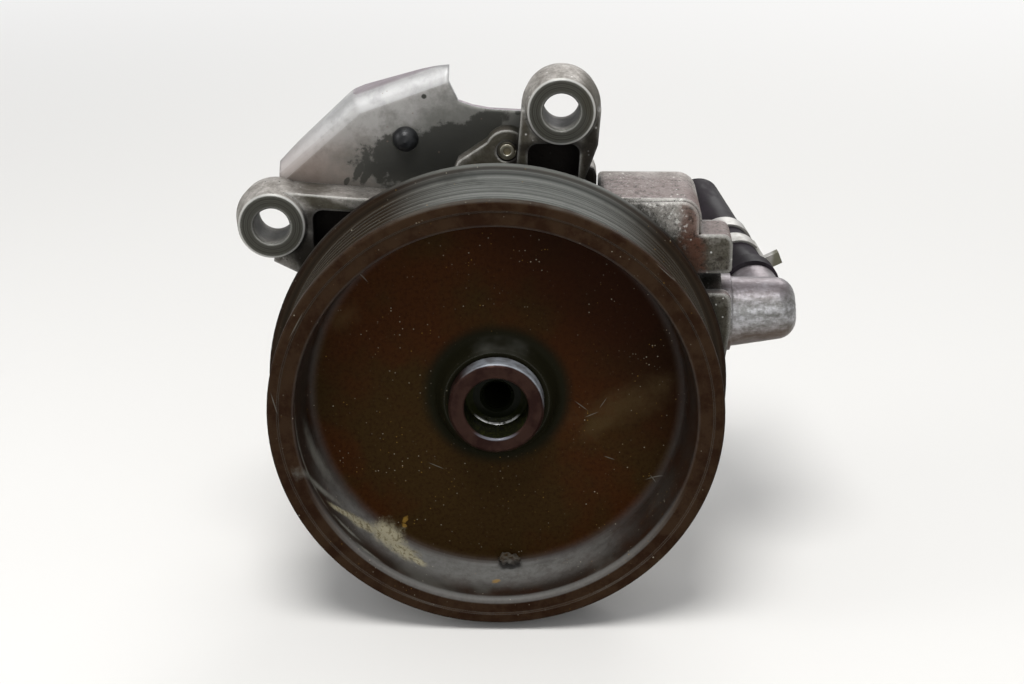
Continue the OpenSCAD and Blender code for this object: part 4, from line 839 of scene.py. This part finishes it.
def makeShaftSteel(name, settings):
    material, tree, surface, place = startMaterial(name, 1.0)
    surface.inputs["Specular IOR Level"].default_value = settings["specular"]
    y = splitPlace(tree, place)[1]
    rings = useGroup(tree, turnedMarks, Vector=place, Rings=3000.0)
    dirt = useGroup(tree, grimeAndShade, Vector=place, Reach=settings["cornerReach"], Patches=120.0)
    colour = mixColour(tree, times(tree, dirt["Patchy"], 0.4), settings["steel"], settings["stain"])
    oily = step(tree, y, *settings["oilySpan"])
    inBore = times(tree, step(tree, rings["Radius"], *settings["boreRadius"]),
        step(tree, y, *settings["boreDepth"]))
    oily = calc(tree, "MAXIMUM", oily, inBore)
    colour = mixColour(tree, oily, colour, settings["oily"])
    tree.links.new(colour, surface.inputs["Base Color"])
    tree.links.new(mixValue(tree, oily, 1.0, 0.0), surface.inputs["Metallic"])
    tree.links.new(mixValue(tree, oily, mixValue(tree, dirt["Patchy"], 0.24, 0.4), 0.18),
        surface.inputs["Roughness"])
    addRelief(tree, surface, rings["Height"], settings["relief"], 0.5)
    return material


# other steels and bare metals: one recipe with values for each finish
steelSettings = {
    "groundSteel": {"colour": (176, 176, 176), "stain": (110, 104, 96), "stained": 0.3, "roughness": 0.26,
                    "rings": 3000.0, "metallic": 1.0},
    "darkSteel": {"colour": (92, 92, 94), "stain": (60, 52, 44), "stained": 0.4, "roughness": 0.42,
                  "rings": 1500.0, "metallic": 1.0},
    "zincSteel": {"colour": (186, 182, 164), "stain": (112, 100, 74), "stained": 0.45, "roughness": 0.34,
                  "rings": 1200.0, "metallic": 1.0},
    "clampSteel": {"colour": (158, 156, 152), "stain": (96, 92, 82), "stained": 0.5, "roughness": 0.46,
                   "rings": 800.0, "metallic": 0.6, "dirtySpan": (mm(83.6), mm(85.1))},
    "bronze": {"colour": (176, 138, 78), "stain": (108, 82, 46), "stained": 0.35, "roughness": 0.32,
               "rings": 2000.0, "metallic": 1.0},
    "copper": {"colour": (184, 116, 78), "stain": (112, 74, 52), "stained": 0.4, "roughness": 0.38,
               "rings": 1500.0, "metallic": 1.0},
}


steelShared = {
    "worn": (215, 214, 210),
    "dirt": (88, 86, 66),
    "edgeReach": mm(0.35),
    "cornerReach": mm(4),
    "relief": mm(0.03),
}


def makeSteel(name, settings):
    material, tree, surface, place = startMaterial(name, settings["metallic"])
    rings = useGroup(tree, turnedMarks, Vector=place, Rings=settings["rings"])
    wear = useGroup(tree, edgeWear, Distance=steelShared["edgeReach"])
    dirt = useGroup(tree, grimeAndShade, Vector=place, Reach=steelShared["cornerReach"], Patches=120.0)
    # stain in patches, and in the corners as grime and painted shade
    stain = calc(tree, "MAXIMUM", times(tree, dirt["Patchy"], settings["stained"]),
        times(tree, dirt["Corners"], 0.7))
    colour = mixColour(tree, stain, photoColour(*settings["colour"]), photoColour(*settings["stain"]))
    colour = mixColour(tree, times(tree, wear["Mask"], 0.4), colour, photoColour(*steelShared["worn"]))
    if "dirtySpan" in settings:
        x = splitPlace(tree, place)[0]
        dirty = step(tree, x, *settings["dirtySpan"])
        colour = mixColour(tree, times(tree, dirty, 0.8), colour, photoColour(*steelShared["dirt"]))
    tree.links.new(colour, surface.inputs["Base Color"])
    roughness = mixValue(tree, stain, settings["roughness"], settings["roughness"] + 0.25)
    tree.links.new(roughness, surface.inputs["Roughness"])
    height = plus(tree, times(tree, rings["Height"], 0.6), noise(tree, place, 1500.0, 2))
    addRelief(tree, surface, height, steelShared["relief"], 0.7, wear["Normal"])
    return material


# sheet steel of the bracket plate: dull grey, brownish low down at the left, soaked with oil at the right, a painted
# highlight along the bend, a painted reflection on the top of the flange, corners darkened with grime and painted
# shade
plateSettings = {
    "sheet": photoColour(160, 158, 155),
    "sheetDark": photoColour(128, 126, 122),
    "brown": photoColour(124, 108, 98),
    "damp": photoColour(98, 98, 93),
    "oil": photoColour(58, 58, 54),
    "worn": photoColour(190, 192, 195),
    "flangeTopReflection": photoColour(122, 108, 116),
    "brownUp": (mm(76), mm(58)),
    "brownAcross": (mm(-24), mm(-46)),
    "frontSpan": (mm(41.0), mm(40.4)),
    "edgeReach": mm(0.4),
    "bendReach": mm(1.8),
    "cornerReach": mm(6),
    "relief": mm(0.05),
    # mm across and up on the sheet, length, height, turn in degrees
    "dampSpots": [
        (-10.0, 70.0, 44.0, 26.0, 20), (-28.0, 62.0, 40.0, 18.0, 12), (4.0, 76.0, 20.0, 16.0, 0),
    ],
    "oilSpots": [
        (-20.5, 63.0, 44.0, 18.0, 6), (-12.0, 69.0, 22.0, 11.0, 4), (-4.0, 73.6, 14.0, 8.0, 30),
        (-30.5, 65.5, 9.0, 10.0, 20),
        (-41.2, 59.0, 6.5, 2.6, 66), (-38.6, 58.0, 8.0, 2.8, 60), (-44.8, 55.8, 3.0, 1.6, 60),
    ],
    "dots": [
        (-21.6, 81.5, 1.6, 1.5, 0), (-28.1, 88.6, 1.2, 1.1, 0), (-12.8, 88.8, 1.3, 1.1, 0), (5.7, 76.7, 1.8, 1.4, 0),
    ],
}


def makePlateSheet(name, settings):
    material, tree, surface, place = startMaterial(name, 0.6)
    x, y, z = splitPlace(tree, place)
    wear = useGroup(tree, edgeWear, Distance=settings["edgeReach"])
    softBend = useGroup(tree, edgeWear, Distance=settings["bendReach"])
    dirt = useGroup(tree, grimeAndShade, Vector=place, Reach=settings["cornerReach"], Patches=70.0)
    lowLeft = times(tree, step(tree, z, *settings["brownUp"]), step(tree, x, *settings["brownAcross"]))
    mottle = noise(tree, place, 160.0, 5, 0.65)
    colour = mixColour(tree, step(tree, mottle, 0.38, 0.66), settings["sheet"], settings["sheetDark"])
    colour = mixColour(tree, times(tree, lowLeft, 0.75), colour, settings["brown"])
    front = step(tree, y, *settings["frontSpan"])
    damp = paintSpots(tree, place, x, z, settings["dampSpots"], 0.35, 150.0, 0.5)
    colour = mixColour(tree, times(tree, damp, front, 0.8), colour, settings["damp"])
    oil = times(tree, paintSpots(tree, place, x, z, settings["oilSpots"], 0.42, 250.0, 0.12), front)
    colour = mixColour(tree, times(tree, oil, 0.88), colour, settings["oil"])
    facing = splitPlace(tree, tree.nodes.new("ShaderNodeTexCoord").outputs["Normal"])
    # painted highlight: a light band along the bend, where the sheet turns from facing up
    bendHighlight = times(tree, step(tree, facing[2], 0.2, 0.5), step(tree, facing[2], 0.98, 0.85))
    colour = mixColour(tree, times(tree, bendHighlight, 0.3), colour, settings["worn"])
    # painted reflection: the top of the flange is darker and pinkish
    flange = step(tree, facing[2], 0.8, 0.95)
    colour = mixColour(tree, times(tree, flange, 0.7), colour, settings["flangeTopReflection"])
    dots = paintSpots(tree, place, x, z, settings["dots"], 0.12, 900.0, 0.25)
    colour = mixColour(tree, dots, colour, settings["oil"])
    grit = useGroup(tree, specks, Vector=place, Scale=800.0, Amount=0.05, Size=0.25)
    colour = mixColour(tree, times(tree, grit["Mask"], 0.6), colour, settings["brown"])
    # grime and painted shade: the corners darkened in the oil colour
    colour = mixColour(tree, times(tree, dirt["Corners"], 0.6), colour, settings["oil"])
    colour = mixColour(tree, times(tree, wear["Mask"], 0.4), colour, settings["worn"])
    tree.links.new(colour, surface.inputs["Base Color"])
    roughness = mixValue(tree, oil, mixValue(tree, mottle, 0.42, 0.56), 0.3)
    tree.links.new(roughness, surface.inputs["Roughness"])
    height = plus(tree, noise(tree, place, 500.0, 3), times(tree, noise(tree, place, 60.0, 1), 2.0))
    addRelief(tree, surface, height, settings["relief"], 0.7, softBend["Normal"])
    return material


# elbow: light cast aluminium with a soft mottle, drawn out along its length, its top darker and lilac from dust,
# painted shade and a painted reflection, its underside in painted shade
elbowSettings = {"light": photoColour(178, 178, 181), "dark": photoColour(120, 120, 118),
                 "grimeAndShadeColour": photoColour(56, 53, 45), "topDustAndShade": photoColour(88, 78, 82),
                 "underside": photoColour(78, 62, 50), "edgeReach": mm(0.9), "cornerReach": mm(6), "relief": mm(0.12),
                 "drawnOut": (0.35, 1, 1)}


def makeElbowCasting(name, settings):
    material, tree, surface, place = startMaterial(name, 0.85)
    skin = useGroup(tree, castSkin, Vector=place, Grain=900.0)
    wear = useGroup(tree, edgeWear, Distance=settings["edgeReach"])
    dirt = useGroup(tree, grimeAndShade, Vector=place, Reach=settings["cornerReach"], Patches=80.0)
    drawn = tree.nodes.new("ShaderNodeMapping")
    drawn.inputs["Scale"].default_value = settings["drawnOut"]
    tree.links.new(place, drawn.inputs["Vector"])
    streaky = noise(tree, drawn.outputs[0], 420.0, 5, 0.65)
    colour = mixColour(tree, step(tree, streaky, 0.35, 0.65), settings["light"], settings["dark"])
    colour = mixColour(tree, times(tree, skin["Mottle"], 0.5), colour, settings["grimeAndShadeColour"])
    colour = mixColour(tree, times(tree, dirt["Patchy"], 0.35), colour, settings["grimeAndShadeColour"])
    # dust, painted shade and a painted lilac reflection: faces that look up are darker and tinted
    colour = mixColour(tree, times(tree, dirt["FacingUp"], 0.75), colour, settings["topDustAndShade"])
    # grime and painted shade: the corners darkened
    colour = mixColour(tree, times(tree, dirt["Corners"], 0.7), colour, settings["grimeAndShadeColour"])
    normal = splitPlace(tree, tree.nodes.new("ShaderNodeNewGeometry").outputs["Normal"])
    # painted shade: faces that look down are darker and brown
    under = times(tree, step(tree, normal[2], 0.1, -0.65), mixValue(tree, streaky, 0.7, 1.0))
    colour = mixColour(tree, under, colour, settings["underside"])
    tree.links.new(colour, surface.inputs["Base Color"])
    tree.links.new(mixValue(tree, streaky, 0.3, 0.48), surface.inputs["Roughness"])
    addRelief(tree, surface, skin["Height"], settings["relief"], 0.6, wear["Normal"])
    return material


# rubbers: hose, plug and seals
rubberSettings = {
    "hoseRubber": {"colour": (20, 16, 19), "dusty": (54, 48, 54), "dust": 0.3, "roughness": 0.4, "specular": 0.05},
    "plugRubber": {"colour": (14, 15, 17), "dusty": (56, 58, 60), "dust": 0.25, "roughness": 0.34, "specular": 0.3},
}
rubberShared = {"cornerReach": mm(4), "relief": mm(0.06)}


def makeRubber(name, settings):
    material, tree, surface, place = startMaterial(name)
    surface.inputs["Specular IOR Level"].default_value = settings["specular"]
    dirt = useGroup(tree, grimeAndShade, Vector=place, Reach=rubberShared["cornerReach"], Patches=110.0)
    cloth = noise(tree, place, 900.0, 3)
    colour = mixColour(tree, times(tree, dirt["Patchy"], settings["dust"]), photoColour(*settings["colour"]),
        photoColour(*settings["dusty"]))
    tree.links.new(colour, surface.inputs["Base Color"])
    tree.links.new(mixValue(tree, dirt["Patchy"], settings["roughness"], settings["roughness"] + 0.2),
        surface.inputs["Roughness"])
    addRelief(tree, surface, cloth, rubberShared["relief"], 0.6)
    return material


castAluminium = makeCastAluminium("castAluminium", castSettings, ears=True)
coverAluminium = makeCastAluminium("coverAluminium", castSettings)
pulleyMoulding = makePulleyMoulding("pulleyMoulding", pulleySettings)
plateSheet = makePlateSheet("plateSheet", plateSettings)
elbowCasting = makeElbowCasting("elbowCasting", elbowSettings)
hubSteel = makeHubSteel("hubSteel", hubSettings)
shaftSteel = makeShaftSteel("shaftSteel", shaftSettings)
steels = {name: makeSteel(name, settings) for name, settings in steelSettings.items()}
rubbers = {name: makeRubber(name, settings) for name, settings in rubberSettings.items()}

dress(castAluminium, "housing")
dress(coverAluminium, "rear_cover")
dress(pulleyMoulding, "pulley")
dress(plateSheet, "bracket_plate")
dress(elbowCasting, "inlet_elbow")
dress(hubSteel, "pulley_hub")
dress(shaftSteel, "drive_shaft")
dress(steels["groundSteel"], "rotor", "vanes", "cam_ring", "front_side_plate", "rear_side_plate",
      "dowel_pins", "bearing_outer_race", "bearing_inner_race", "bearing_balls", "flow_spool", "relief_ball")
dress(steels["darkSteel"], "bearing_circlip", "rotor_snap_ring", "valve_spring", "relief_spring")
dress(steels["zincSteel"], "cover_bolts", "outlet_fitting", "plate_screws")
dress(steels["clampSteel"], "hose_clamp")
dress(steels["bronze"], "rear_bush", "bearing_cage", "relief_seat")
dress(steels["copper"], "outlet_washer")
dress(rubbers["hoseRubber"], "suction_hose")
dress(rubbers["plugRubber"], "rubber_plug", "shaft_seal", "cover_seal", "elbow_seal")
print("materials made")

# added pieces
threadSettings = {
    # name: axis x and z, radius, depth, first and last y, pitch, body, slot, finish
    "screw_tip_thread": ((2.6, 66.7), 2.45, 0.32, (34.75, 35.8), 0.5, "pump_body", "zinc_steel"),
    "outlet_port_thread": ((43.997, 29.998), 6.2, 0.35, (77.0, 85.6), 1.5, "pump_body", "zinc_steel"),
    "lug_thread": ((-31.29, -41.53), 3.4, 0.3, (70.0, 80.6), 1.25, "pump_body", "cast_aluminium"),
    "puller_thread": ((0.0, 0.0), 4.25, 0.3, (11.6, 26.0), 1.25, "rotor_set", "steel"),
}
oilSettings = {
    "rings": [      # radius and y
        (9.34, 9.1), (9.26, 9.45), (9.08, 9.75), (8.8, 9.92), (8.3, 9.97), (7.0, 9.98), (7.0, 10.05), (9.34, 10.05),
    ],
    "sides": 96,
    "colour": photoColour(20, 22, 8),
    "thinColour": photoColour(34, 36, 16),
    "wetSpan": (mm(-5.5), mm(-7.5)),
    "relief": mm(0.08),
    "specular": 0.02,
    "coatRoughness": 0.06,
    "coatIndex": 2.4,
}
screwTipSettings = {
    "middle": (2.6, 66.7),
    "rings": [(1.2, 34.3), (2.05, 34.3), (2.42, 34.75), (2.42, 35.75), (1.2, 35.75)],
    "sides": 48,
}
lumpSettings = {
    "place": (3.6, 8.6, -52.4),
    "size": (3.5, 1.5, 1.7),
    "strength": mm(2.8),
    "crumbs": mm(1.3),
}
smoothUpTo = math.radians(40)
mergeWithin = mm(0.001)


def startOver():
    bpy.ops.object.select_all(action="DESELECT")


def finishPiece(piece, body, material):
    bpy.ops.object.transform_apply(location=True, rotation=True, scale=True)
    bpy.ops.object.shade_smooth_by_angle(angle=smoothUpTo)
    piece.data.materials.clear()
    piece.data.materials.append(material)
    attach(piece, body)


def turnPiece(name, rings, sides, middle=(0.0, 0.0)):  # drawn ring by ring along Y, last joined to first
    startOver()
    radius, y = rings[0]
    bpy.ops.mesh.primitive_circle_add(vertices=sides, radius=mm(radius), rotation=(math.pi / 2, 0, 0),
        location=(mm(middle[0]), mm(y), mm(middle[1])))
    piece = bpy.context.object
    piece.name = name
    bpy.ops.object.mode_set(mode="EDIT")
    bpy.ops.mesh.select_all(action="SELECT")
    for nextRadius, nextY in rings[1:]:
        bpy.ops.mesh.extrude_region_move(TRANSFORM_OT_translate={"value": (0, mm(nextY - y), 0)})
        share = nextRadius / radius
        bpy.ops.transform.resize(value=(share, 1, share), center_override=(mm(middle[0]), mm(nextY), mm(middle[1])))
        radius, y = nextRadius, nextY
    bpy.ops.mesh.select_all(action="DESELECT")
    bpy.ops.mesh.select_non_manifold(extend=False)
    bpy.ops.mesh.bridge_edge_loops()
    bpy.ops.mesh.select_all(action="SELECT")
    bpy.ops.mesh.normals_make_consistent(inside=False)
    bpy.ops.object.mode_set(mode="OBJECT")
    return piece


def cutThread(name, middle, radius, depth, span, pitch):  # a helical ridge, half of it sunk in the wall
    startOver()
    bpy.ops.mesh.primitive_circle_add(vertices=4, radius=mm(1),
        location=(mm(middle[0]), mm(span[0]), mm(middle[1])))
    piece = bpy.context.object
    piece.name = name
    bpy.ops.object.mode_set(mode="EDIT")
    bpy.ops.mesh.select_all(action="SELECT")
    bpy.ops.transform.resize(value=(depth, pitch * 0.46, 1))
    bpy.ops.transform.translate(value=(mm(radius), 0, 0))
    bpy.ops.object.mode_set(mode="OBJECT")
    winding = piece.modifiers.new("winding", "SCREW")
    winding.axis = "Y"
    winding.screw_offset = mm(pitch)
    winding.iterations = max(1, round((span[1] - span[0]) / pitch))
    winding.steps = winding.render_steps = 36
    winding.use_merge_vertices = False
    bpy.ops.object.modifier_apply(modifier="winding")
    bpy.ops.object.mode_set(mode="EDIT")
    bpy.ops.mesh.select_all(action="SELECT")
    bpy.ops.mesh.fill_holes(sides=4)
    bpy.ops.mesh.select_all(action="SELECT")
    bpy.ops.mesh.normals_make_consistent(inside=False)
    bpy.ops.object.mode_set(mode="OBJECT")
    return piece


def makeSpring(node, material):  # a copy of the node's coil, put on the node's body, with the node hidden
    startOver()
    piece = bpy.data.objects.new(node + "_coil", nodes[node].data.copy())
    bpy.context.scene.collection.objects.link(piece)
    bpy.context.view_layer.objects.active = piece
    piece.select_set(True)
    bpy.ops.object.mode_set(mode="EDIT")
    bpy.ops.mesh.select_all(action="SELECT")
    bpy.ops.mesh.remove_doubles(threshold=mergeWithin)
    bpy.ops.object.mode_set(mode="OBJECT")
    finishPiece(piece, nodes[node]["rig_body"], material)
    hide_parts(node)
    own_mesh(piece)


def makeOil(name, settings):
    material, tree, surface, place = startMaterial(name)
    surface.inputs["Specular IOR Level"].default_value = settings["specular"]
    surface.inputs["Coat Roughness"].default_value = settings["coatRoughness"]
    surface.inputs["Coat IOR"].default_value = settings["coatIndex"]
    z = splitPlace(tree, place)[2]
    thick = noise(tree, place, 500.0, 3)
    wet = times(tree, step(tree, z, *settings["wetSpan"]), step(tree, noise(tree, place, 900.0, 2), 0.3, 0.5))
    tree.links.new(wet, surface.inputs["Coat Weight"])
    tree.links.new(mixColour(tree, thick, settings["colour"], settings["thinColour"]), surface.inputs["Base Color"])
    tree.links.new(mixValue(tree, thick, 0.04, 0.2), surface.inputs["Roughness"])
    addRelief(tree, surface, noise(tree, place, 420.0, 2), settings["relief"], 0.6)
    return material


def makeDirtLump(settings):
    startOver()
    place = [mm(value) for value in settings["place"]]
    bpy.ops.mesh.primitive_ico_sphere_add(subdivisions=4, radius=mm(1), location=place)
    lump = bpy.context.object
    lump.name = "dirt_lump"
    bpy.ops.object.mode_set(mode="EDIT")
    bpy.ops.mesh.select_all(action="SELECT")
    bpy.ops.transform.resize(value=settings["size"])
    bpy.ops.object.mode_set(mode="OBJECT")
    crumble = bpy.data.textures.new("crumble", "CLOUDS")
    crumble.noise_scale = settings["crumbs"]
    crumble.noise_depth = 4
    rough = lump.modifiers.new("rough", "DISPLACE")
    rough.texture = crumble
    rough.texture_coords = "LOCAL"
    rough.strength = settings["strength"]
    bpy.ops.object.modifier_apply(modifier="rough")
    return lump


threadFinish = {"zinc_steel": steels["zincSteel"], "cast_aluminium": castAluminium, "steel": shaftSteel}
for name, (middle, radius, depth, span, pitch, body, slotName) in threadSettings.items():
    finishPiece(cutThread(name, middle, radius, depth, span, pitch), body, threadFinish[slotName])
oilFillet = turnPiece("hub_oil", oilSettings["rings"], oilSettings["sides"])
finishPiece(oilFillet, "rotor_set", makeOil("oilFilm", oilSettings))
screwTip = turnPiece("screw_tip", screwTipSettings["rings"], screwTipSettings["sides"], screwTipSettings["middle"])
finishPiece(screwTip, "pump_body", steels["zincSteel"])
finishPiece(makeDirtLump(lumpSettings), "rotor_set", pulleyMoulding)
for joint in frame["joints"]:
    for coil in joint.get("deforming_nodes", []):
        makeSpring(coil["node"], steels["darkSteel"])
print("added pieces made")
